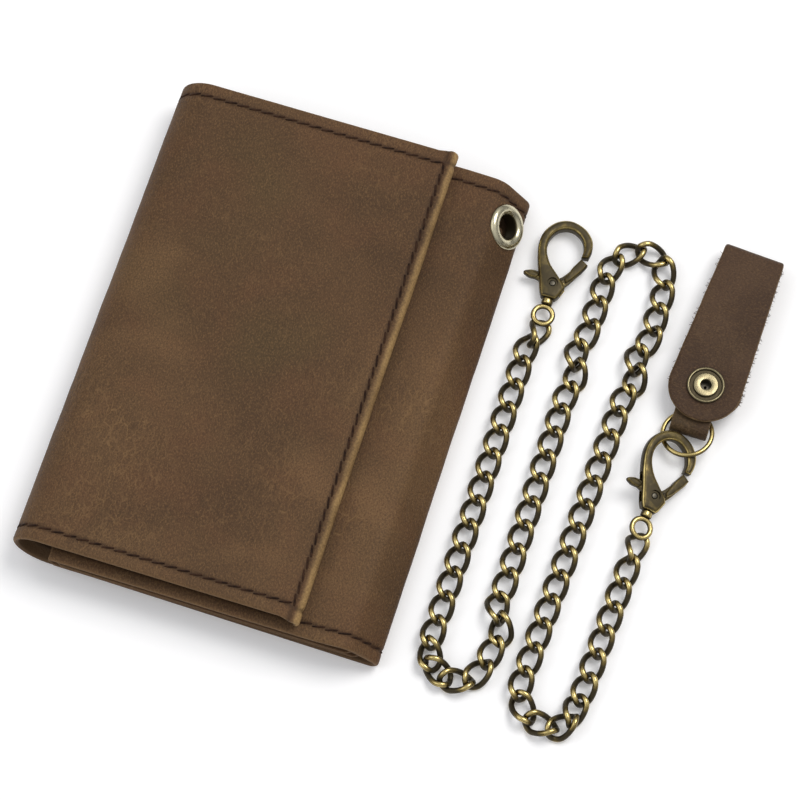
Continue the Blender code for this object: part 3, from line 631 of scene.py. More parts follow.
def aged_brass(name, bright, mid, dark, tarnish=0.5, rough=0.3, wear_and_highlight_range=(0.35, 0.75)):
    """Plated brass: bright on the high places, wear and a painted highlight; darkened in the low ones,
    patina and painted shade; fine scuffs.
    """
    n = Nodes(name)
    place = n.add("ShaderNodeTexCoord").outputs["Object"]
    mottle = n.noise(place, 330.0, 4.0, 0.65)
    fine = n.noise(place, 2400.0, 3.0, 0.6)
    brushed = n.noise(n.stretch(place, (1.0, 0.12, 1.0), 0.3), 1900.0, 2.0, 0.6)
    high = n.attribute("polish_and_highlight").outputs["Fac"]
    jitter = n.math("MULTIPLY", n.math("SUBTRACT", mottle, 0.5), tarnish)
    worn_and_highlit = n.ramp(n.math("ADD", high, jitter), wear_and_highlight_range[0], wear_and_highlight_range[1])
    color = n.mix(worn_and_highlit, dark, mid)
    # painted highlight: the brightest brass where the mark is highest
    highlight_peak = n.ramp(n.math("ADD", high, jitter), wear_and_highlight_range[1] - 0.05, wear_and_highlight_range[1] + 0.25)
    color = n.mix(highlight_peak, color, bright)
    specks = n.ramp(fine, 0.60, 0.72)
    color = n.mix(n.math("MULTIPLY", specks, 0.30), color, dark)
    rough_value = n.ramp(worn_and_highlit, 0.0, 1.0, rough + 0.22, rough)
    rough_value = n.math("ADD", rough_value, n.ramp(brushed, 0.3, 0.7, -0.04, 0.06))
    normal = n.bump(fine, 0.12, 0.00008)
    normal = n.bump(brushed, 0.10, 0.00006, normal)
    metal = n.ramp(worn_and_highlit, 0.0, 0.6, 0.75, 1.0)
    n.link(metal, n.shader.inputs["Metallic"])
    return n.finish(color, rough_value, normal)


def plain_floor(name, tone):
    """Matt pale paper, lit a little from within."""
    n = Nodes(name)
    place = n.add("ShaderNodeTexCoord").outputs["Object"]
    faint = n.noise(place, 40.0, 3.0)
    color = n.mix(n.math("MULTIPLY", faint, 0.03), tone, (0.82, 0.83, 0.86))
    n.link(color, n.shader.inputs["Emission Color"])
    return n.finish(color, n.ramp(faint, 0.0, 1.0, 0.62, 0.72), Emission_Strength=0.10,
                    Specular_IOR_Level=0.2)


# ---------------------------------------------------------------- chain

LINK_SIDES, LINK_STEPS = 10, 56
SETTLE_ROUNDS = 260
EASE_TURN = 1 / 9.0                          # how easily a link turns against how it slides
LINK_PLAY = 0.03                             # room kept between the wires (mm)
LINK_START = 2.2                             # height that the links drop from (mm)
HOME_PULL, FALL = 0.03, 0.03                 # share drawn back to the route, and fall (mm), each round


def curb_link(length, width, wire, twist):
    """Centreline of one twisted link, lying along Y (mm)."""
    half = (width - wire) / 2
    run = (length - width) / 2
    oval = smooth_line([(half, -run), (half, run)], LINK_STEPS // 8)[:-1].tolist()
    oval += arc((0.0, run), half, 0.0, 180.0, LINK_STEPS * 3 // 8)[:-1]
    oval += smooth_line([(-half, run), (-half, -run)], LINK_STEPS // 8)[:-1].tolist()
    oval += arc((0.0, -run), half, 180.0, 360.0, LINK_STEPS * 3 // 8)[:-1]
    oval = np.array(oval)
    twist = twist * oval[:, 1] / (run + half)
    return np.column_stack([oval[:, 0] * np.cos(twist), oval[:, 1], oval[:, 0] * np.sin(twist)])


def link_places():
    """Middle and roll of every link along the runs."""
    places = []
    for count, x, y, roll in LINK_RUNS:
        last = places[-1] if places else (x, y, roll)
        for step in range(1, count + 1):
            share = step / count
            places.append(tuple(a + (b - a) * share for a, b in zip(last, (x, y, roll))))
    return np.array(places)


def link_turns(places):
    """Each link's axes: across, along and up."""
    along = np.zeros((len(places), 2))
    along[1:-1] = places[2:, :2] - places[:-2, :2]
    along[0] = (0.0, -1.0)
    along[-1] = (0.0, 1.0)
    along /= np.linalg.norm(along, axis=1)[:, None]
    roll = np.radians(places[:, 2])
    turns = np.zeros((len(places), 3, 3))
    turns[:, :2, 1] = along
    turns[:, 0, 0] = along[:, 1] * np.cos(roll)
    turns[:, 1, 0] = -along[:, 0] * np.cos(roll)
    turns[:, 2, 0] = np.sin(roll)
    turns[:, :, 2] = np.cross(turns[:, :, 0], turns[:, :, 1])
    return turns


def small_turns(vectors):
    """Rotation matrices of short rotation vectors."""
    angle = np.linalg.norm(vectors, axis=1)
    axis = vectors / np.maximum(angle, 1e-12)[:, None]
    skew = np.zeros((len(vectors), 3, 3))
    skew[:, 0, 1], skew[:, 0, 2], skew[:, 1, 2] = -axis[:, 2], axis[:, 1], -axis[:, 0]
    skew -= skew.transpose(0, 2, 1)
    return (np.eye(3) + np.sin(angle)[:, None, None] * skew
            + (1 - np.cos(angle))[:, None, None] * (skew @ skew))


def settle_links(places, shape, wire):
    """Lays the links down: they press each other apart, rest on the table and keep near home."""
    count = len(places)
    clear = wire + LINK_PLAY
    middle = np.column_stack([places[:, :2], np.full(count, LINK_START)])
    home = middle.copy()
    turns = link_turns(places)
    for step in range(SETTLE_ROUNDS):
        wires = middle[:, None] + np.einsum("kij,pj->kpi", turns, shape)
        slide, spin, hits = np.zeros((count, 3)), np.zeros((count, 3)), np.zeros(count)
        for hop in (1, 2):
            gap = wires[:-hop, :, None] - wires[hop:, None]
            far = np.linalg.norm(gap, axis=3)
            for _contact in range(3):
                nearest = far.reshape(count - hop, -1).argmin(1)
                first, second = np.divmod(nearest, len(shape))
                pair = np.arange(count - hop)
                touching = far[pair, first, second] < clear
                if not touching.any():
                    break
                pair, first, second = pair[touching], first[touching], second[touching]
                near = far[pair, first, second]
                normal = gap[pair, first, second] / near[:, None]
                arm = np.cross(wires[pair, first] - middle[pair], normal)
                other = np.cross(wires[pair + hop, second] - middle[pair + hop], normal)
                weight = 2 + EASE_TURN * ((arm ** 2).sum(1) + (other ** 2).sum(1))
                push = ((clear - near) / weight)[:, None]
                np.add.at(slide, pair, normal * push)
                np.add.at(slide, pair + hop, -normal * push)
                np.add.at(spin, pair, arm * EASE_TURN * push)
                np.add.at(spin, pair + hop, -other * EASE_TURN * push)
                np.add.at(hits, pair, 1)
                np.add.at(hits, pair + hop, 1)
                for k, a, b in zip(pair, first, second):
                    far[k, max(0, a - 6):a + 7, max(0, b - 6):b + 7] = 9.0
        lowest = wires[:, :, 2].argmin(1)
        sunk = wire / 2 - wires[np.arange(count), lowest, 2]
        arm = np.cross(wires[np.arange(count), lowest] - middle, (0.0, 0.0, 1.0))
        lift = np.where(sunk > 0, sunk, 0.0) / (1 + EASE_TURN * (arm ** 2).sum(1))
        slide[:, 2] += lift
        spin += arm * (EASE_TURN * lift)[:, None]
        hits += sunk > 0
        share = (0.8 / np.sqrt(np.maximum(hits, 1)))[:, None]
        hold = max(0.0, 1 - step / (SETTLE_ROUNDS * 0.8))
        middle += slide * share
        middle[:, :2] += (home[:, :2] - middle[:, :2]) * HOME_PULL * hold
        middle[:, 2] -= FALL * hold
        turns = small_turns(spin * share) @ turns
    return middle, turns


def build_chain(metal, brass):
    """The links as one mesh, and the line that they follow."""
    wire = metal.link_wire / MM
    shape = curb_link(metal.link_length / MM, metal.link_width / MM, wire, metal.link_twist)
    middle, turns = settle_links(link_places(), shape, wire)
    rings = tube_points(shape * MM, wire / 2 * MM, LINK_SIDES)
    flat = rings.reshape(-1, 3)
    # bright on the tops and bottoms of each link's wire: wear and a painted highlight; darker patina
    # elsewhere
    height = np.abs(flat[:, 2]) / np.abs(flat[:, 2]).max()
    polish_and_highlight = 0.12 + 0.88 * height ** 1.3
    points, faces, shine = [], [], []
    for k, (place, turn) in enumerate(zip(middle, turns)):
        points.append(place * MM + flat @ turn.T)
        faces += tube_faces(len(shape), LINK_SIDES, k * len(flat))
        shine.append(polish_and_highlight)
    chain = mesh_piece("curb_chain", np.vstack(points), faces, brass)
    mark(chain, "polish_and_highlight", np.concatenate(shine))
    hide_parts("chain", "chain_end_link_1", "chain_end_link_2")
    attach(chain, "chain_set")
    start, end = ((eye[0], eye[1] - EYE_TO_CHAIN) for eye in (CLASP_1_EYE, CLASP_2_EYE))
    route = [(x * MM, y * MM, ROUTE_HEIGHT * MM) for x, y in [start] + CHAIN_ROUTE + [end]]
    return chain, smooth_line(route, 6)


# ---------------------------------------------------------------- trigger clasps (mm)

HOOK_OUTSIDE = [(-1.9, 4.6), (-2.7, 6.0), (-4.1, 10.0), (-5.7, 14.4), (-6.6, 18.6),
                (-6.0, 22.3), (-3.6, 25.4), (-0.2, 26.6), (3.6, 25.6), (6.2, 23.2),
                (7.0, 20.4), (6.7, 17.9)]
HOOK_INSIDE = [(4.9, 17.7), (4.8, 20.2), (3.4, 22.8), (0.4, 24.2), (-2.6, 23.1),
               (-4.2, 20.2), (-4.0, 17.0), (-2.2, 13.8), (0.6, 11.2)]
BODY_FOOT = [(2.6, 9.4), (3.3, 8.2), (2.3, 5.4), (1.7, 4.6)]
GATE_OUTLINE = [(5.0, 17.3), (7.0, 16.2), (6.1, 14.1), (4.1, 10.9), (2.9, 9.6), (2.4, 10.9),
                (3.6, 14.6)]
THUMB_OUTLINE = [(-4.6, 9.0), (-6.6, 8.95), (-8.1, 9.9), (-6.8, 10.75), (-4.6, 10.6), (-4.0, 9.8),
                 (-4.6, 9.0)]
LEVER_OUTLINE = [(5.1, 17.1), (4.3, 15.4), (2.0, 11.6), (0.4, 10.4), (-1.4, 10.3), (-3.6, 10.9),
                 (-6.2, 11.0), (-7.9, 10.1), (-7.6, 9.3), (-5.0, 9.0), (-2.6, 8.3), (-1.3, 7.3),
                 (-0.1, 6.95), (1.4, 7.3), (3.2, 9.0), (5.2, 12.4), (6.9, 16.0)]
PIVOT = (-0.1, 8.7)
CLASP_THICK, LEVER_THICK = 3.6, 1.3
SLOT_PLAY = 0.2                              # room on each side of the lever in the body
PIN_BORE, RECESS_SIZE, RECESS_DEPTH = 1.7, 2.8, 0.7


def block(name, low, high):
    """A box between two corners (mm)."""
    shape = bmesh.new()
    bmesh.ops.create_cube(shape, size=1.0)
    low, high = Vector(low) * MM, Vector(high) * MM
    bmesh.ops.scale(shape, vec=high - low, verts=shape.verts)
    bmesh.ops.translate(shape, vec=(high + low) / 2, verts=shape.verts)
    return shape_piece(name, shape)


def rod(name, diameter, low, high, place=(0.0, 0.0), axis="Z", steps=40):
    """A round bar (mm) from low to high along Z or Y."""
    shape = bmesh.new()
    bmesh.ops.create_cone(shape, cap_ends=True, segments=steps, radius1=diameter / 2 * MM,
                          radius2=diameter / 2 * MM, depth=(high - low) * MM)
    bmesh.ops.translate(shape, vec=(0.0, 0.0, (low + high) / 2 * MM), verts=shape.verts)
    if axis == "Y":
        bmesh.ops.rotate(shape, matrix=Matrix.Rotation(-math.pi / 2, 3, "X"), verts=shape.verts)
    bmesh.ops.translate(shape, vec=(place[0] * MM, place[1] * MM, 0.0), verts=shape.verts)
    return shape_piece(name, shape)


def joined(first, *others):
    """One piece from several closed shells."""
    shape = bmesh.new()
    for piece in (first, *others):
        shape.from_mesh(piece.data)
    shape.to_mesh(first.data)
    shape.free()
    for piece in others:
        bpy.data.objects.remove(piece, do_unlink=True)
    return first


def bevel_rod(piece, size):
    """Domed ends on a rod."""
    shape = bmesh.new()
    shape.from_mesh(piece.data)
    rims = [e for e in shape.edges if e.calc_face_angle(0.0) > 1.0]
    bmesh.ops.bevel(shape, geom=rims, offset=size * MM, segments=3, profile=0.5, affect="EDGES")
    shape.to_mesh(piece.data)
    shape.free()
    return shade_by_angle(piece)


def finish_node(node, material):
    """Gives a frame node its finish."""
    node.data.materials.clear()
    node.data.materials.append(material)
    return node


def highlight_rims_shade_walls(piece, face=0.42, rim=0.95, wall=0.10, recess=False):
    """By the way each face turns, in the clasp's own frame: bright on its rims, wear and a painted
    highlight; less on its faces; dark on its walls, painted shade.
    """
    mesh = piece.data
    normals = np.zeros(len(mesh.vertices) * 3)
    mesh.vertices.foreach_get("normal", normals)
    level = np.abs(normals.reshape(-1, 3)[:, 2])
    value = np.interp(level, [0.0, 0.25, 0.7, 0.93, 1.0], [wall, wall + 0.12, rim, face + 0.1, face])
    if recess:
        reach = [math.hypot(v.co.x / MM - PIVOT[0], v.co.y / MM - PIVOT[1]) for v in mesh.vertices]
        value = np.where(np.array(reach) < RECESS_SIZE / 2 + 0.02, -0.2, value)
    return mark(piece, "polish_and_highlight", value)


def fitted(piece, placing, body, slot, *nodes):
    """Moves a piece to its place on a body, where it stands for frame nodes."""
    piece.data.transform(placing)
    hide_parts(*nodes)
    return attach(piece, body)


def clasp_body(name, brass):
    """Hook and body in one plate, slotted for the lever."""
    hook_line = smooth_line(HOOK_OUTSIDE, 6).tolist() + smooth_line(HOOK_INSIDE, 6).tolist()
    body = rounded_plate(name, hook_line + BODY_FOOT, CLASP_THICK - 0.3, 0.95, brass, 5)
    gap = LEVER_THICK / 2 + SLOT_PLAY
    cut_away(body, block(name + "_gap", (-9.0, 6.0, -gap), (9.0, 13.2, gap)))
    floor = CLASP_THICK / 2 - RECESS_DEPTH
    for low, high in ((floor, 3.0), (-3.0, -floor)):
        cut_away(body, rod(name + "_recess", RECESS_SIZE, low, high, PIVOT))
    cut_away(body, rod(name + "_bore", PIN_BORE, -3.0, 3.0, PIVOT))
    shade_by_angle(body, 40.0)
    return highlight_rims_shade_walls(body, recess=True)


def clasp_lever(name, brass):
    """Trigger lever with its gate and thumb tab."""
    line = smooth_line(LEVER_OUTLINE + LEVER_OUTLINE[:1], 5)[:-1].tolist()
    lever = rounded_plate(name, line, LEVER_THICK, 0.3, brass, 3)
    cut_away(lever, rod(name + "_bore", PIN_BORE, -2.0, 2.0, PIVOT))
    cover = rounded_plate(name + "_gate", GATE_OUTLINE, 2.5, 0.6, brass, 4)
    tail = smooth_line(THUMB_OUTLINE, 5)[:-1].tolist()
    thumb = rounded_plate(name + "_thumb", tail, 2.0, 0.7, brass, 4)
    lever = joined(lever, cover, thumb)
    shade_by_angle(lever, 40.0)
    return highlight_rims_shade_walls(lever, face=0.36, rim=0.85)


def swivel_eye(name, brass):
    """Ring, collar and headed stem that turn in the body."""
    ring = arc((2.43, 0.0), 0.67, 0.0, 337.5, 15)
    eye = turned_piece(name, ring, brass, 64)
    parts = [rod(name + "_collar", 2.9, 2.95, 4.5, axis="Y"),
             rod(name + "_stem", 1.1, 4.2, 6.4, axis="Y", steps=24),
             rod(name + "_head", 1.9, 6.15, 6.7, axis="Y", steps=24)]
    bevel_rod(parts[0], 0.35)
    joined(eye, *parts)
    shade_by_angle(eye, 40.0)
    return highlight_rims_shade_walls(eye, face=0.9, rim=0.75, wall=0.1)


def build_clasps(brass, steel):
    """Both clasps, each with its hook, lever, swivel ring, rivet and spring."""
    pieces = []
    lie = Matrix.Rotation(CLASP_2_TURN, 4, "Z") @ Matrix.Rotation(CLASP_2_ROLL, 4, "Y")
    clasps = (("clasp_1", CLASP_1_EYE, Matrix.Identity(4), ("clasp_1", "clasp_1_trigger", "chain_set")),
              ("clasp_2", CLASP_2_EYE, lie, ("chain_set", "clasp_2_trigger", "clasp_2_eye")))
    for name, eye, turn, (hook_body, lever_body, eye_body) in clasps:
        placing = Matrix.Translation(Vector(eye) * MM) @ turn
        hook = fitted(clasp_body(name + "_hook", brass), placing, hook_body, "antique_brass",
                      name + "_body")
        lever = fitted(clasp_lever(name + "_trigger_lever", brass), placing, lever_body,
                       "antique_brass", name + "_lever")
        ring = fitted(swivel_eye(name + "_swivel_ring", brass), placing, eye_body, "antique_brass",
                      name + "_swivel_eye")
        pin = rod(name + "_rivet", 1.55, -1.28, 1.28, PIVOT)
        pin.data.materials.append(steel)
        bevel_rod(pin, 0.25)
        fitted(pin, placing, hook_body, "spring_steel", name + "_lever_pin")
        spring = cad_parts[name + "_spring"]
        shade_by_angle(spring)
        finish_node(spring, steel)
        pieces += [hook, lever, ring, pin, spring]
    return pieces


# ---------------------------------------------------------------- wallet leather

SEAM_HIDDEN = 20.0 * MM                      # where the panel's stitching goes under the flap
# Lighter places, painted pools of light: distance along, Y, reach along and across (mm), amount
PANEL_LIT_SPOTS = [(71, -38, 9, 26, 1.0), (74, 8, 7, 30, 0.6)]
FLAP_LIT_SPOTS = [(20, -28, 14, 20, 0.75), (44, 30, 16, 26, 0.25), (68, -40, 7, 22, 0.5),
              (35, -58, 30, 7, 0.4)]
SEAM_REACH = 0.62 * MM                       # half width of the dent along a seam
FOLD_STEPS = 24                              # steps round a quarter of the left fold
FOLD_REACH = 12.0 * MM                       # along the flap, from the middle of the left fold
FOLD_OUT = 0.2 * MM                          # how far the fold's lower end is drawn in
TURNED_RADIUS = 2.0 * MM                     # bend of the flap's turned edge
GOLD_REACH = 3.2 * MM                        # width of its lighter band: stretched leather with a painted highlight
EYELET_CUT = 8.2                             # hole for the eyelet (mm)
FLAP_LINE_IN = 4.0 * MM                      # flap's edge line from the end of its turned edge


def side_edges(places, lows, highs):
    """Side edges in Y that change with the distance along a line."""
    return (lambda s: np.interp(s, places, lows), lambda s: np.interp(s, places, highs))


def straight_edges(low, high):
    """Two straight side edges."""
    return (lambda s: low + 0 * s, lambda s: high + 0 * s)


def seam_dent_and_shade(low, high, inset, across=None):
    """How far the leather is pulled in along its seams, and how much painted shade lies along the seam."""
    def depth(s, y):
        rows = np.exp(-((np.minimum(y - low(s), high(s) - y) - inset) / SEAM_REACH) ** 2)
        if across is not None:
            rows = np.maximum(rows, np.exp(-((s - across) / SEAM_REACH) ** 2))
        return rows
    return depth


def leather_lump(dent_and_shade, seed, low, high):
    """Low waves in a worn hide, pulled in at its seams."""
    def lump(s, y):
        waves = 0.16 * MM * wave(s, y, 17 * MM, seed) + 0.07 * MM * wave(s, y, 5.5 * MM, seed + 5)
        waves = waves + 0.025 * MM * wave(s, y, 1.9 * MM, seed + 9)
        edge = np.minimum(y - low(s), high(s) - y)
        calm = ease(edge / (5 * MM)) * 0.7 + 0.3
        return waves * calm - 0.26 * MM * dent_and_shade(s, y)
    return lump


def worn_and_lit_places(low, high, spots):
    """Where the hide is painted lighter: worn along its side edges, and painted pools of light in soft
    spots (s, y, reach s, reach y).
    """
    def rubbed_and_lit(s, y):
        edge = np.minimum(y - low(s), high(s) - y)
        value = 0.45 * np.exp(-(edge / (2.6 * MM)) ** 2)
        for at_s, at_y, reach_s, reach_y, amount in spots:
            value = value + amount * np.exp(-((s - at_s * MM) / (reach_s * MM)) ** 2
                                            - ((y - at_y * MM) / (reach_y * MM)) ** 2)
        return value
    return rubbed_and_lit


def flat_lump(seed):
    """Low waves in a thin lining."""
    return lambda s, y: 0.05 * MM * wave(s, y, 9 * MM, seed)


def stitches(name, hide, rows, leather, thread, thread_size=None):
    """Slanted saddle stitches through a hide. Each row is a list of (distance along, Y) corners."""
    points, faces = [], []
    thread_size = thread_size or leather.thread_size
    for row in rows:
        row = np.asarray(row, float)
        along = lengths_along(row)
        count = max(1, int(round(along[-1] / leather.stitch_pitch)))
        middles = (np.arange(count) + 0.5) * along[-1] / count
        reach = along[-1] / count * 0.54
        for middle in middles:
            part = min(np.searchsorted(along, middle) - 1, len(row) - 2)
            way = (row[part + 1] - row[part]) / (along[part + 1] - along[part])
            centre = row[part] + way * (middle - along[part])
            lean = leather.stitch_lean
            way = np.array([way[0] * math.cos(lean) - way[1] * math.sin(lean),
                            way[0] * math.sin(lean) + way[1] * math.cos(lean)])
            t = np.linspace(-1.0, 1.0, 9)
            place = centre + way * (t * reach)[:, None]
            place[:, 0] = np.clip(place[:, 0], 0.0, hide.size)
            crown = np.sqrt(np.maximum(1 - t ** 4, 0.0))
            lift = (-0.55 + 0.66 * crown) * thread_size
            size = thread_size / 2 * (0.55 + 0.45 * crown)
            rings = tube_points(hide.surface(place[:, 0], place[:, 1], lift), size, 8, False)
            faces += tube_faces(len(t), 8, sum(len(p) for p in points), False)
            points.append(rings.reshape(-1, 3))
    return mesh_piece(name, np.vstack(points), faces, thread)


def cover_line():
    """Middle line of the main hide: over the panel, down the right fold and under the back."""
    half = HIDE / 2
    crown, foot = SHOULDER_CROWN * 1.5, SHOULDER_FOOT
    lean = math.degrees(math.pi / 2 - SHOULDER_SLOPE)
    foot_at = (RIGHT_X - foot, foot)
    slope = math.radians(lean)
    side = np.array([math.cos(slope), math.sin(slope)])
    down = np.array([math.sin(slope), -math.cos(slope)])
    lower = np.array(foot_at) + side * foot
    drop = (PANEL_TOP - crown + crown * side[1] - lower[1]) / -down[1]
    upper = lower - down * drop
    crown_at = upper - side * crown
    line = [(PANEL_LOW.x, PANEL_TOP - half)]
    line += arc(crown_at, crown - half, 90.0, lean, 10)
    line += arc(foot_at, foot - half, lean, -90.0, 16)
    line += [(FOLD_X, half)]
    return np.array(line)


def flap_line():
    """Middle line of the flap: up the left fold, over the front and round its turned edge."""
    half = HIDE / 2
    bend = FOLD_RADIUS - half
    turn = FLAP_HIGH.x - TURNED_RADIUS
    line = arc((FOLD_X, FOLD_RADIUS), bend, 180.0, 90.0, FOLD_STEPS)
    line += arc((turn, FLAP_TOP - TURNED_RADIUS), TURNED_RADIUS - half, 90.0, -62.0, 14)
    return np.array(line)


def seam_columns(inset):
    """Distances from an edge where a hide needs points for its seam."""
    return [inset + d * MM for d in (-1.3, -0.9, -0.6, -0.3, 0.0, 0.3, 0.6, 0.9, 1.3)]


def bend_between(parts, *blend):
    """Bakes the placing of a hide and its stitching into their meshes."""
    for part in parts:
        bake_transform(part)


def build_main_hide(leather, finish, thread):
    """Right panel, right fold and back in one, with its seams and the eyelet's hole."""
    inset = leather.stitch_inset
    line = cover_line()
    along = lengths_along(line)
    drop_from, drop_to = along[1] - 9 * MM, along[-6]
    fall = np.linspace(0.0, 1.0, 9)
    places = [0.0, *(drop_from + (drop_to - drop_from) * fall), along[-1]]
    lows = [PANEL_LOW.y, *(PANEL_LOW.y + (RIGHT_LOW.y - PANEL_LOW.y) * ease(fall)), BACK_LOW.y]
    top = PANEL_HIGH.y + leather.panel_rise
    highs = [top, *(top + (RIGHT_HIGH.y - top) * fall ** 1.6), BACK_HIGH.y]
    low, high = side_edges(places, lows, highs)
    dent_and_shade = seam_dent_and_shade(low, high, inset)
    main = Hide(line, low, high, HIDE, 1.0 * MM, leather_lump(dent_and_shade, 3.3, low, high),
                (True, False), seam_columns(inset), bends=[(along[1] - MM, along[-2] + MM)],
                marks={"stitch_shade": dent_and_shade, "rubbed_and_lit": worn_and_lit_places(low, high, PANEL_LIT_SPOTS)})
    cover = main.build("panel_and_back_leather", finish)
    eyelet_hole = rod("eyelet_hole", EYELET_CUT, -4.0, 4.0)
    eyelet_hole.data.transform(eyelet_place())
    cut_away(cover, eyelet_hole)
    shade_by_angle(cover, 60.0)
    last = along[-1] - 0.5 * MM
    stops = np.concatenate([np.arange(SEAM_HIDDEN - line[0, 0], last, 2.0 * MM), [last]])
    rows = [[(s, float(edge(s)) + way * inset) for s in stops] for edge, way in ((low, 1), (high, -1))]
    seam = stitches("panel_and_back_stitching", main, rows, leather, thread)
    bend_between((cover, seam), "wallet", "right_panel", (0.0, 0.0, 1.6 * MM), (0.0, 0.0, 5.0 * MM))
    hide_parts("back_cover", "right_spine", "right_panel_cover")


def build_fold_quarter(leather, finish, thread):
    """Lower quarter of the left fold."""
    inset = leather.stitch_inset
    line = np.array(arc((FOLD_X, FOLD_RADIUS), FOLD_RADIUS - HIDE / 2, 270.0, 180.0, FOLD_STEPS))
    size = lengths_along(line)[-1]
    low, high = side_edges([0.0, size], [BACK_LOW.y, FLAP_LOW.y + FOLD_OUT],
                           [BACK_HIGH.y, (BACK_HIGH.y + FLAP_HIGH.y) / 2])
    dent_and_shade = seam_dent_and_shade(low, high, inset)
    lower = Hide(line, low, high, HIDE, 1.0 * MM, leather_lump(dent_and_shade, 3.3, low, high),
                 (False, False), seam_columns(inset), bends=[(0.0, size)],
                 marks={"stitch_shade": dent_and_shade})
    quarter = lower.build("left_fold_lower_leather", finish)
    rows = [[(0.3 * MM, edge(0.0) + way * inset), (size - 0.2 * MM, edge(size) + way * inset)]
            for edge, way in ((low, 1), (high, -1))]
    seam = stitches("left_fold_lower_stitching", lower, rows, leather, thread)
    bend_between((quarter, seam), "wallet", "spine", (FOLD_X, 0.0, 0.0),
                 (SPINE_LOW.x, 0.0, FOLD_RADIUS))
    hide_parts("left_spine")


def build_flap(leather, finish, thread):
    """Upper quarter of the left fold, the flap and its turned edge."""
    inset = leather.stitch_inset
    line = flap_line()
    size = lengths_along(line)[-1]
    ear = leather.edge_ear
    join = (BACK_HIGH.y + FLAP_HIGH.y) / 2
    places = [0.0, FOLD_REACH, size - 6 * MM, size - 3.4 * MM, size]
    lows = [FLAP_LOW.y + FOLD_OUT, FLAP_LOW.y, FLAP_LOW.y, FLAP_LOW.y - ear, FLAP_LOW.y - ear]
    highs = [join, FLAP_HIGH.y, FLAP_HIGH.y, FLAP_HIGH.y + ear, FLAP_HIGH.y + ear]
    low, high = side_edges(places, lows, highs)
    edge_line = size - FLAP_LINE_IN
    dent_and_shade = seam_dent_and_shade(low, high, inset, edge_line)

    # the turned edge's lighter band: stretched leather, with a painted highlight along the crest
    def turned(s, y):
        start = size - GOLD_REACH + 0.25 * MM * wave(s * 0, y, 6 * MM, 1.0)
        return ease((s - start) / (0.8 * MM))

    flap = Hide(line, low, high, HIDE, 1.0 * MM, leather_lump(dent_and_shade, 7.7, low, high),
                (False, True), seam_columns(inset), close_ends=seam_columns(FLAP_LINE_IN)[1:],
                bends=[(0.0, FOLD_REACH), (size - 3.6 * MM, size - 0.8 * MM)],
                marks={"stitch_shade": dent_and_shade, "turned_edge": turned,
                       "rubbed_and_lit": worn_and_lit_places(low, high, FLAP_LIT_SPOTS)})
    top = flap.build("flap_leather", finish)
    row = [(0.4 * MM, float(low(0.0)) + inset), (FOLD_REACH, FLAP_LOW.y + inset),
           (edge_line, FLAP_LOW.y + inset), (edge_line, FLAP_HIGH.y - inset),
           (FOLD_REACH, FLAP_HIGH.y - inset), (0.4 * MM, float(high(0.0)) - inset)]
    seam = stitches("flap_stitching", flap, [row], leather, thread)
    bend_between((top, seam), "spine", "flap", (SPINE_LOW.x, 0.0, FOLD_RADIUS),
                 (FOLD_X - 0.6 * MM, 0.0, FLAP_TOP - 0.6 * MM))
    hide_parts("flap_cover", "left_spine")


LINING_NODES = {
    "bill_divider": "wallet", "centre_pocket_backing": "wallet", "centre_card_pocket_upper": "wallet",
    "centre_card_pocket_lower": "wallet", "right_card_pocket": "right_panel",
    "right_panel_lining": "right_panel", "flap_card_pocket": "flap", "flap_lining": "flap",
}


def build_linings(leather, finish, thread):
    """A sewn lining or pocket in the place of each lining node."""
    inset = leather.lining_inset
    for seed, (node, body) in enumerate(LINING_NODES.items()):
        low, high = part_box(node)
        level = (low.z + high.z) / 2
        end = min(high.x, FLAP_HIGH.x - 2.6 * MM) if body == "flap" else high.x
        line = [(low.x, level), (end, level)]
        if body != "wallet":
            line = line[::-1]
        foot = BACK_LOW.y - 0.9 * MM if node in ("centre_pocket_backing", "bill_divider") else low.y
        edges = straight_edges(foot, high.y)
        hide = Hide(line, *edges, (high.z - low.z) * 0.98, 1.6 * MM, flat_lump(seed),
                    close=[inset - 0.5 * MM, inset, inset + 0.5 * MM], corner=(2.0 * MM, 2.0 * MM),
                    marks={"stitch_shade": seam_dent_and_shade(*edges, inset)})
        piece = hide.build(node + "_leather", finish)
        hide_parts(node)
        far = hide.size - inset
        row = [(inset, high.y - inset), (inset, foot + inset), (far, foot + inset), (far, high.y - inset)]
        seam = stitches(node + "_stitching", hide, [row], leather, thread, leather.lining_thread)
        for part in (piece, seam):
            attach(part, body)


# ---------------------------------------------------------------- eyelet

def eyelet_place():
    """The eyelet's seat: on the outer face of the right fold's slope."""
    low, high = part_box("eyelet_washer")
    washer = (low + high) / 2
    out = Vector((math.sin(SHOULDER_SLOPE), 0.0, math.cos(SHOULDER_SLOPE)))
    seat = washer + out * (HIDE + 0.3 * MM)
    return Matrix.Translation(seat) @ Matrix.Rotation(SHOULDER_SLOPE, 4, "Y")


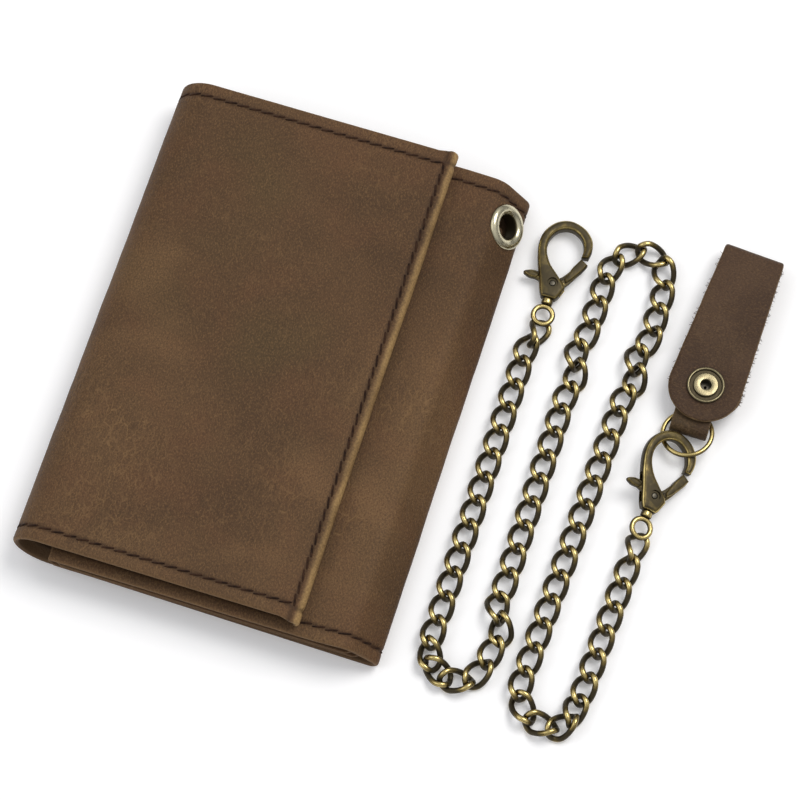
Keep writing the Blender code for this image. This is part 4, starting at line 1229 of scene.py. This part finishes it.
def build_eyelet(metal, brass, plated):
    """A domed flange and barrel, rolled over behind the leather (mm)."""
    outer, bore, barrel, lift, dome = 5.9, metal.eyelet_bore / 2 / MM, 3.8, 0.05, 1.15
    half = (outer - bore) / 2
    crown = arc(((outer + bore) / 2, lift), half, 180.0, 0.0, 18)
    crown = [(r, lift + (z - lift) * dome / half) for r, z in crown]
    profile = crown + [(outer - 0.25, -0.05), (barrel, -0.05), (barrel, -2.3), (barrel + 0.8, -2.55),
                       (barrel + 0.6, -2.95), (bore, -2.95), (bore, -1.0)]
    eyelet = turned_piece("leather_eyelet", profile, brass, 80)
    shade_by_angle(eyelet, 50.0)
    # brighter higher on the dome, wear and a painted highlight; darker inside the bore
    height = np.array([v.co.z for v in eyelet.data.vertices]) / MM
    reach = np.array([math.hypot(v.co.x, v.co.y) for v in eyelet.data.vertices]) / MM
    mark(eyelet, "polish_and_highlight", np.clip(0.25 + height * 0.75 - 0.5 * (reach < bore + 0.25), 0.0, 1.0))
    fitted(eyelet, eyelet_place(), "right_panel", "pale_brass", "eyelet")
    finish_node(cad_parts["eyelet_washer"], plated)


# ---------------------------------------------------------------- key ring, strap and snap

KEY_RING = "split_key_ring"
RING_SPLIT = (96.6, 455.4)                   # degrees round the ring from one end to the other
RING_NORMAL = (-0.165, 0.125, 1.0)           # the ring leans on the clasp and the tab


def build_key_ring(metal, brass):
    """A wire ring with a small split."""
    low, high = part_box("key_ring")
    middle = metal.ring_size / 2 - metal.ring_wire / 2
    turn = np.radians(np.linspace(*RING_SPLIT, 97))
    circle = np.column_stack([middle * np.cos(turn), middle * np.sin(turn), 0 * turn])
    flat = tube_points(circle, metal.ring_wire / 2, 14, False).reshape(-1, 3)
    piece = mesh_piece(KEY_RING, flat, tube_faces(len(turn), 14, 0, False), brass)
    shade_by_angle(piece, 50.0)
    # bright on the top and bottom of the wire: wear and a painted highlight
    mark(piece, "polish_and_highlight", 0.25 + 0.75 * np.abs(flat[:, 2]) / np.abs(flat[:, 2]).max())
    normal = Vector(RING_NORMAL).normalized()
    lean = Vector((0.0, 0.0, 1.0)).rotation_difference(normal).to_matrix().to_4x4()
    fitted(piece, Matrix.Translation((low + high) / 2) @ lean, "key_ring", "pale_brass", "key_ring")


def strap_place():
    """From the strap's own frame, along X from the snap, to its place on the table."""
    return (Matrix.Translation((SNAP_XY[0] * MM, SNAP_XY[1] * MM, 0.0))
            @ Matrix.Rotation(STRAP_TURN, 4, "Z") @ Matrix.Rotation(math.pi / 2, 4, "Z"))


def lay_strap(piece):
    """Puts a piece of the strap in place."""
    piece.data.transform(strap_place())
    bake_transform(piece)


def frayed_fibres(hide, fold_start, finish):
    """Short loose fibres on both cut edges of the strap, most of them on the right."""
    draw = np.random.default_rng(11)
    points, faces = [], []
    for _fibre in range(90):
        s = draw.uniform(7.0 * MM, fold_start)
        right = draw.random() < 0.72
        y = hide.low(s) if right else hide.high(s)
        way = -1.0 if right else 1.0
        start = hide.surface(s, y, -draw.uniform(0.5, 1.1) * MM)
        reach, bend, droop = (draw.uniform(*span) * MM for span in ((0.25, 0.75), (-0.6, 0.6), (-0.3, 0.2)))
        t = np.linspace(-0.25, 1.0, 5)
        path = np.stack([start[0] + bend * t ** 2, start[1] + way * reach * t, start[2] + droop * t], -1)
        rings = tube_points(path, (0.085 - 0.05 * np.clip(t, 0, 1)) * MM, 5, False)
        faces += tube_faces(len(t), 5, sum(len(p) for p in points), False)
        points.append(rings.reshape(-1, 3))
    piece = mesh_piece("strap_edge_fibres", np.vstack(points), faces, finish)
    count = len(piece.data.vertices)
    mark(piece, "hide_place", np.vstack(points), "FLOAT_VECTOR")
    mark(piece, "cut_distance", np.full(count, 5 * MM))
    mark(piece, "grain_side", np.zeros(count))
    return piece


def build_strap(strap, finish):
    """Belt strap: a ragged-edged leather folded over, with its snap holes and loose fibres."""
    thick = strap.strap_leather
    half = thick / 2
    tip = STRAP_TIP
    front, back = STRAP_TOP - half, STRAP_FOOT + half
    fold = (front - back) / 2
    line = [(-tip, front), (-tip / 2, front), (0.0, front)]
    line += arc((STRAP_HEAD, back + fold), fold, 90.0, -90.0, 18)
    line = np.array(line + [(0.0, back), (-4.7 * MM, back)])
    along = lengths_along(line)
    fold_start = along[2] + STRAP_HEAD

    def width(s):
        return np.interp(np.interp(s, along, line[:, 0]), [0.0, 38.5 * MM], [tip, 7.8 * MM])

    def ragged(s, side):
        return 0.10 * MM * wave(s, 0 * s + side, 3.5 * MM, 4.0 + side * 40)

    def lump(s, y):
        dish = np.exp(-((np.hypot(s - tip, y) - 5.0 * MM) / (1.2 * MM)) ** 2)
        return 0.10 * MM * wave(s, y, 11 * MM, 2.0) + 0.03 * MM * wave(s, y, 3 * MM, 6.0) - 0.18 * MM * dish

    hide = Hide(line, lambda s: -width(s) + ragged(s, -1.0), lambda s: width(s) + ragged(s, 1.0),
                thick, 0.8 * MM, lump, corner=(tip, 5.5 * MM),
                bends=[(0.0, 9.0 * MM), (fold_start - MM, fold_start + fold * math.pi + MM)])
    piece = hide.build("belt_strap_leather", finish)
    for floor, roof in ((4.0, 8.0), (0.2, 3.4)):
        cut_away(piece, rod("snap_hole", 4.7, floor, roof))
    shade_by_angle(piece, 60.0)
    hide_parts("strap_front", "strap_fold", "strap_back")
    lay_strap(piece)
    lay_strap(frayed_fibres(hide, fold_start, finish))


def build_ring_tab(strap, finish):
    """Narrow tab that loops round the key ring."""
    low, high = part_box("strap_ring_tab")
    leather = strap.tab_leather
    bend = (high.z - low.z) / 2 - leather / 2
    middle = Vector(((low.x + high.x) / 2, low.y + bend + leather / 2, (low.z + high.z) / 2))
    line = [(high.y, middle.z - bend)] + arc((middle.y, middle.z), bend, -90.0, -270.0, 18)
    line += [(high.y, middle.z + bend)]
    straight = high.y - middle.y
    loop = Hide(line, *straight_edges(-(high.x - low.x) / 2, (high.x - low.x) / 2), leather, 0.8 * MM,
                lambda s, y: 0.06 * MM * wave(s, y, 5 * MM, 3.0),
                bends=[(straight - MM, straight + bend * math.pi + MM)])
    tab = loop.build("ring_tab_leather", finish)
    tab.data.transform(Matrix.Translation((middle.x, 0.0, 0.0)) @ Matrix.Rotation(math.pi / 2, 4, "Z"))
    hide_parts("strap_ring_tab")
    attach(tab, "chain_set")


def build_snap(metal, brass, plated, steel):
    """The snap's top ring (mm), and finishes for its other pieces."""
    outer, bore, post, top, foot = metal.snap_size / 2 / MM, 1.3, 2.1, 6.85, 5.38
    disc_edge, disc_round, rim_round = 2.85, 0.30, 0.36
    disc = arc((bore + disc_round, top + 0.45), disc_round, 190.0, 90.0, 6)
    disc += arc((disc_edge, top + 0.45), disc_round, 90.0, -20.0, 6)
    rim = arc((outer - rim_round, top + 0.26), rim_round, 170.0, -40.0, 14)
    profile = [(bore, top - 0.6)] + disc + [(3.2, top + 0.06), (outer - 0.78, top + 0.06)] + rim
    profile += [(outer - 0.15, top), (post, top), (post, foot), (bore, foot)]
    flange = turned_piece("snap_top_ring", profile, brass, 80)
    shade_by_angle(flange, 50.0)
    # brighter on the raised disc and rim, wear and a painted highlight; darker on the flat top
    height = np.array([v.co.z for v in flange.data.vertices]) / MM - top
    mark(flange, "polish_and_highlight", np.clip(-0.1 + height * 0.55, 0.0, 0.34))
    placing = Matrix.Translation((SNAP_XY[0] * MM, SNAP_XY[1] * MM, 0.0))
    fitted(flange, placing, "strap_flap", "pale_brass", "snap_flange")
    for node, finish in (("snap_socket", plated), ("snap_cap", plated), ("snap_stud", steel)):
        finish_node(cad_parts[node], finish)


# ---------------------------------------------------------------- stage

def soft_light(name, place, target, size, power, color):
    """A round light of a given size, turned to the target."""
    data = bpy.data.lights.new(name, "AREA")
    data.shape = "DISK"
    data.size = size
    data.energy = power
    data.color = color
    light = bpy.data.objects.new(name, data)
    bpy.context.scene.collection.objects.link(light)
    light.location = place
    light.rotation_euler = (Vector(target) - Vector(place)).to_track_quat("-Z", "Y").to_euler()
    return light


TARGET = Vector((0.031, 0.0032, 0.0))        # what the camera and the lights point at
CAMERA_TURN, CAMERA_RISE = math.radians(17.6), math.radians(69.6)
CAMERA_FAR, CAMERA_LENS = 0.767, 137.5       # distance (m), focal length (mm)
KEY_PLACE, FILL_PLACE = Vector((0.45, 0.50, 1.25)), Vector((-0.9, -0.35, 0.9))
ROOM_LOW, ROOM_HIGH = (0.16, 0.16, 0.17, 1.0), (1.0, 1.0, 1.0, 1.0)


def build_room(strength):
    """A soft studio: pale overhead, darker towards the floor."""
    world = bpy.data.worlds.new("studio")
    bpy.context.scene.world = world
    world.use_nodes = True
    tree = world.node_tree
    back = tree.nodes["Background"]
    place = tree.nodes.new("ShaderNodeTexCoord")
    split = tree.nodes.new("ShaderNodeSeparateXYZ")
    ramp = tree.nodes.new("ShaderNodeValToRGB")
    tree.links.new(place.outputs["Generated"], split.inputs[0])
    tree.links.new(split.outputs["Z"], ramp.inputs[0])
    tree.links.new(ramp.outputs[0], back.inputs["Color"])
    for stop, position, color in zip(ramp.color_ramp.elements, (0.0, 0.75), (ROOM_LOW, ROOM_HIGH)):
        stop.position = position
        stop.color = color
    back.inputs["Strength"].default_value = strength


def build_camera():
    """A long lens, high above the table."""
    data = bpy.data.cameras.new("camera")
    data.lens, data.sensor_width = CAMERA_LENS, 36.0
    data.clip_start, data.clip_end = 0.01, 20.0
    camera = bpy.data.objects.new("camera", data)
    bpy.context.scene.collection.objects.link(camera)
    bpy.context.scene.camera = camera
    flat = math.cos(CAMERA_RISE)
    back_way = Vector((math.sin(CAMERA_TURN) * flat, -math.cos(CAMERA_TURN) * flat, math.sin(CAMERA_RISE)))
    camera.location = TARGET + back_way * CAMERA_FAR
    camera.rotation_euler = (-back_way).to_track_quat("-Z", "Y").to_euler()


def build_stage(stage):
    """Floor, lights, room and camera."""
    floor = mesh_piece("floor", [(-3, -3, 0), (3, -3, 0), (3, 3, 0), (-3, 3, 0)], [(0, 1, 2, 3)],
                       plain_floor("floor_paper", tuple(stage.floor_tone)), False)
    floor.location.z = -0.05 * MM
    key = soft_light("key_light", TARGET + KEY_PLACE, TARGET, 0.8, stage.key_power, (1.0, 0.985, 0.96))
    fill = soft_light("fill_light", TARGET + FILL_PLACE, TARGET, 1.2, stage.fill_power, (0.93, 0.95, 1.0))
    build_room(stage.room_light)
    build_camera()
    view = bpy.context.scene.view_settings
    view.view_transform = "Standard"
    view.look = "None"


# ---------------------------------------------------------------- add-on

def tint(label, text, value):
    """A colour setting."""
    return bpy.props.FloatVectorProperty(name=label, description=text, default=value, size=3,
                                         subtype="COLOR", min=0.0, max=1.0)


def length(label, text, value):
    """A size setting."""
    return bpy.props.FloatProperty(name=label, description=text, default=value, unit="LENGTH",
                                   min=0.0, precision=5)


class WALLET_PG_leather(bpy.types.PropertyGroup):
    """Colours and stitching of the wallet's hide."""
    base: tint("Brown", "Main colour of the hide", (0.100, 0.053, 0.024))
    dark: tint("Dark brown", "Darker clouds in the hide", (0.070, 0.037, 0.017))
    red: tint("Red brown", "Reddish clouds", (0.110, 0.050, 0.023))
    olive: tint("Olive brown", "Greener clouds", (0.078, 0.049, 0.020))
    # light is the colour of wear, and it also paints the pools of light on the panel and the flap
    light: tint("Rubbed", "Colour where the hide is bent or rubbed", (0.235, 0.135, 0.060))
    # deep is the grain's dark colour, and it also paints the shade along the seams
    deep: tint("Deep", "Colour in the grain and the seams", (0.026, 0.013, 0.007))
    edge: tint("Edge", "Burnished cut edges", (0.240, 0.140, 0.060))
    # gold: the turned edge's stretched leather, and a painted highlight along its crest
    gold: tint("Turned edge", "Flap's turned edge", (0.400, 0.255, 0.105))
    flesh: tint("Flesh side", "Back of the hide", (0.110, 0.064, 0.032))
    thread_dark: tint("Thread", "Main colour of the thread", (0.016, 0.007, 0.004))
    thread_light: tint("Thread wax", "Lighter plies of the thread", (0.042, 0.019, 0.010))
    stitch_pitch: length("Stitch", "Length of a stitch", 3.2 * MM)
    stitch_inset: length("Seam inset", "Seam to the cut edge", 3.6 * MM)
    thread_size: length("Thread size", "Diameter of the thread", 0.50 * MM)
    lining_inset: length("Lining seam inset", "Seam to the edge of a lining or pocket", 2.0 * MM)
    lining_thread: length("Lining thread", "Diameter of the thread in the linings", 0.36 * MM)
    panel_rise: length("Panel rise", "How far the panel's top edge stands above its frame", 1.9 * MM)
    edge_ear: length("Ear", "How far the turned edge stands out at its ends", 0.7 * MM)
    stitch_lean: bpy.props.FloatProperty(name="Stitch lean", description="Slant of each stitch to its seam",
                                         default=math.radians(13.0), subtype="ANGLE")


class WALLET_PG_strap(bpy.types.PropertyGroup):
    """Colours and leathers of the belt strap."""
    base: tint("Strap brown", "Main colour", (0.068, 0.036, 0.020))
    dark: tint("Strap dark", "Darker clouds", (0.046, 0.024, 0.013))
    light: tint("Strap rubbed", "Colour of scuffs", (0.150, 0.090, 0.045))
    edge: tint("Strap edge", "Raw cut edge", (0.330, 0.220, 0.100))
    tab: tint("Tab olive", "Ring tab's colour", (0.088, 0.062, 0.024))
    strap_leather: length("Strap leather", "Thickness of the strap", 1.4 * MM)
    tab_leather: length("Tab leather", "Thickness of the ring tab", 0.8 * MM)


class WALLET_PG_metal(bpy.types.PropertyGroup):
    """Colours and sizes of the chain and fittings."""
    # bright and gleam are worn brass and also paint highlights on the high places; dark is patina and also
    # paints shade on the clasps' walls
    bright: tint("Bright brass", "Rubbed high places", (0.620, 0.490, 0.200))
    mid: tint("Brass", "Main colour of the chain", (0.240, 0.180, 0.068))
    dark: tint("Tarnish", "Low places", (0.055, 0.043, 0.022))
    gleam: tint("Pale gleam", "Rubbed places of the pale fittings", (0.640, 0.590, 0.420))
    pale: tint("Pale brass", "Eyelet, ring and snap", (0.360, 0.310, 0.185))
    steel: tint("Steel", "Pins and springs", (0.110, 0.100, 0.080))
    link_length: length("Link length", "Outside length of a link", 9.6 * MM)
    link_width: length("Link width", "Outside width of a link", 6.4 * MM)
    link_wire: length("Link wire", "Wire of the links", 1.45 * MM)
    link_twist: bpy.props.FloatProperty(name="Link twist", description="Twist at each end of a link",
                                        default=math.radians(62.0), subtype="ANGLE")
    eyelet_bore: length("Eyelet hole", "Hole through the eyelet", 6.2 * MM)
    ring_size: length("Ring size", "Outside of the key ring", 13.5 * MM)
    ring_wire: length("Ring wire", "Wire of the key ring", 1.2 * MM)
    snap_size: length("Snap size", "Outside of the snap's top ring", 9.5 * MM)


class WALLET_PG_stage(bpy.types.PropertyGroup):
    """Floor and lights."""
    floor_tone: tint("Floor", "Colour of the floor", (0.96, 0.96, 0.97))
    key_power: bpy.props.FloatProperty(name="Key light", description="Power of the main light",
                                       default=9.5)
    fill_power: bpy.props.FloatProperty(name="Fill light", description="Power of the fill", default=3.6)
    room_light: bpy.props.FloatProperty(name="Room light", description="Strength of the world",
                                        default=0.66)


def kept_material(name, make):
    """The material of that name, made on first use."""
    return bpy.data.materials.get(name) or make(name)


def wallet_look(leather):
    """Colours and grain of the wallet's hide."""
    look = {key: tuple(getattr(leather, key))
            for key in ("base", "dark", "red", "olive", "light", "deep", "edge", "gold", "flesh")}
    look.update(grain_turn=0.7, crEASE_TURN=0.15, fleck=0.34, rough=0.62)
    return look


def strap_look(strap, leather, base):
    """The wallet's look in the strap's colours, with its grain along the strap."""
    look = wallet_look(leather)
    look.update(base=tuple(base), dark=tuple(strap.dark), red=tuple(base), olive=tuple(strap.dark),
                light=tuple(strap.light), edge=tuple(strap.edge), gold=tuple(strap.edge),
                grain_turn=0.2, crEASE_TURN=1.5, rough=0.56)
    return look


def hide_finish(context):
    """The wallet's outer leather."""
    return kept_material("oiled_wallet_hide", lambda name: pull_up_leather(
        name, wallet_look(context.scene.wallet_leather),
        {"from": 0.42, "full": 0.62, "strength": 0.42}, {"reach": 0.55 * MM, "strength": 0.55}, 0.37))


def thread_finish(context):
    """The sewing thread."""
    leather = context.scene.wallet_leather
    return kept_material("waxed_thread", lambda name: thread_fibre(
        name, tuple(leather.thread_dark), tuple(leather.thread_light)))


def brass_finish(context):
    """Chain, clasps and key ring."""
    metal = context.scene.wallet_metal
    return kept_material("antique_chain_brass", lambda name: aged_brass(
        name, tuple(metal.bright), tuple(metal.mid), tuple(metal.dark), tarnish=0.7, rough=0.24))


def pale_finish(context):
    """Eyelet and snap, polished side."""
    metal = context.scene.wallet_metal
    return kept_material("pale_fitting_brass", lambda name: aged_brass(
        name, tuple(metal.gleam), tuple(metal.pale), tuple(metal.dark), tarnish=0.25, rough=0.22,
        wear_and_highlight_range=(0.02, 0.45)))


def plated_finish(context):
    """Eyelet's washer and the snap's back."""
    metal = context.scene.wallet_metal
    return kept_material("plated_back_brass", lambda name: aged_brass(
        name, tuple(metal.bright), tuple(metal.pale), tuple(metal.dark), tarnish=0.6, rough=0.34,
        wear_and_highlight_range=(-0.4, 0.2)))


def steel_finish(context):
    """Rivets, springs and the snap's stud."""
    metal = context.scene.wallet_metal
    return kept_material("dark_spring_steel", lambda name: aged_brass(
        name, tuple(metal.steel), tuple(metal.steel), tuple(metal.dark), tarnish=0.6, rough=0.36,
        wear_and_highlight_range=(-0.5, 0.1)))


class WALLET_OT_chain(bpy.types.Operator):
    """Lay the curb chain's links along their route"""
    bl_idname = "wallet.chain"
    bl_label = "Curb Chain"

    def execute(self, context):
        brass = brass_finish(context)
        chain, path = build_chain(context.scene.wallet_metal, brass)
        clasps = build_clasps(brass, steel_finish(context))
        return {"FINISHED"}


class WALLET_OT_covers(bpy.types.Operator):
    """Bend the wallet's outer hide round its folds and stitch it"""
    bl_idname = "wallet.covers"
    bl_label = "Outer Leather"

    def execute(self, context):
        for build in (build_main_hide, build_fold_quarter, build_flap):
            build(context.scene.wallet_leather, hide_finish(context), thread_finish(context))
        return {"FINISHED"}


class WALLET_OT_linings(bpy.types.Operator):
    """Cut the linings, the bill divider and the card pockets"""
    bl_idname = "wallet.linings"
    bl_label = "Linings and Pockets"

    def execute(self, context):
        look = wallet_look(context.scene.wallet_leather)
        look.update(fleck=0.12, rough=0.5)
        lining = kept_material("lining_hide", lambda name: pull_up_leather(
            name, look, {"from": 0.7, "full": 0.9, "strength": 0.2},
            {"reach": 0.5 * MM, "strength": 0.4}, 1.9))
        build_linings(context.scene.wallet_leather, lining, thread_finish(context))
        return {"FINISHED"}


class WALLET_OT_eyelet(bpy.types.Operator):
    """Set the brass eyelet in the right fold"""
    bl_idname = "wallet.eyelet"
    bl_label = "Eyelet"

    def execute(self, context):
        build_eyelet(context.scene.wallet_metal, pale_finish(context), plated_finish(context))
        return {"FINISHED"}


class WALLET_OT_key_ring(bpy.types.Operator):
    """Turn the split ring"""
    bl_idname = "wallet.key_ring"
    bl_label = "Key Ring"

    def execute(self, context):
        build_key_ring(context.scene.wallet_metal, brass_finish(context))
        return {"FINISHED"}


class WALLET_OT_strap(bpy.types.Operator):
    """Fold the belt strap and its ring tab"""
    bl_idname = "wallet.strap"
    bl_label = "Belt Strap"

    def execute(self, context):
        strap, leather = context.scene.wallet_strap, context.scene.wallet_leather
        finish = kept_material("belt_strap_hide", lambda name: pull_up_leather(
            name, strap_look(strap, leather, strap.base),
            {"from": 0.36, "full": 0.56, "strength": 0.42}, {"reach": 0.30 * MM, "strength": 0.6}, 3.1))
        tab = kept_material("ring_tab_hide", lambda name: pull_up_leather(
            name, strap_look(strap, leather, strap.tab),
            {"from": 0.45, "full": 0.65, "strength": 0.3}, {"reach": 0.3 * MM, "strength": 0.4}, 4.2))
        build_strap(strap, finish)
        build_ring_tab(strap, tab)
        return {"FINISHED"}


class WALLET_OT_snap(bpy.types.Operator):
    """Set the strap's snap fastener"""
    bl_idname = "wallet.snap"
    bl_label = "Snap"

    def execute(self, context):
        build_snap(context.scene.wallet_metal, pale_finish(context), plated_finish(context),
                   steel_finish(context))
        return {"FINISHED"}


class WALLET_OT_stage(bpy.types.Operator):
    """Put down the floor, the lights and the camera"""
    bl_idname = "wallet.stage"
    bl_label = "Stage"

    def execute(self, context):
        build_stage(context.scene.wallet_stage)
        return {"FINISHED"}


OPERATORS = (WALLET_OT_stage, WALLET_OT_key_ring, WALLET_OT_chain, WALLET_OT_covers,
             WALLET_OT_linings, WALLET_OT_eyelet, WALLET_OT_strap, WALLET_OT_snap)


class WALLET_PT_panel(bpy.types.Panel):
    """Buttons that build the wallet piece by piece"""
    bl_idname = "WALLET_PT_panel"
    bl_label = "Chain Wallet"
    bl_space_type = "VIEW_3D"
    bl_region_type = "UI"
    bl_category = "Wallet"

    def draw(self, context):
        for operator in OPERATORS:
            self.layout.operator(operator.bl_idname)


SETTINGS = {"wallet_leather": WALLET_PG_leather, "wallet_strap": WALLET_PG_strap,
            "wallet_metal": WALLET_PG_metal, "wallet_stage": WALLET_PG_stage}


def register():
    for key, group in SETTINGS.items():
        bpy.utils.register_class(group)
        setattr(bpy.types.Scene, key, bpy.props.PointerProperty(type=group))
    for kind in (*OPERATORS, WALLET_PT_panel):
        bpy.utils.register_class(kind)


def unregister():
    for kind in (WALLET_PT_panel, *reversed(OPERATORS)):
        bpy.utils.unregister_class(kind)
    for key, group in SETTINGS.items():
        delattr(bpy.types.Scene, key)
        bpy.utils.unregister_class(group)


def main():
    register()
    bpy.ops.wallet.stage()
    bpy.ops.wallet.key_ring()
    bpy.ops.wallet.chain()
    bpy.ops.wallet.covers()
    bpy.ops.wallet.linings()
    bpy.ops.wallet.eyelet()
    bpy.ops.wallet.strap()
    bpy.ops.wallet.snap()
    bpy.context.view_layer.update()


if __name__ == "__main__":
    main()
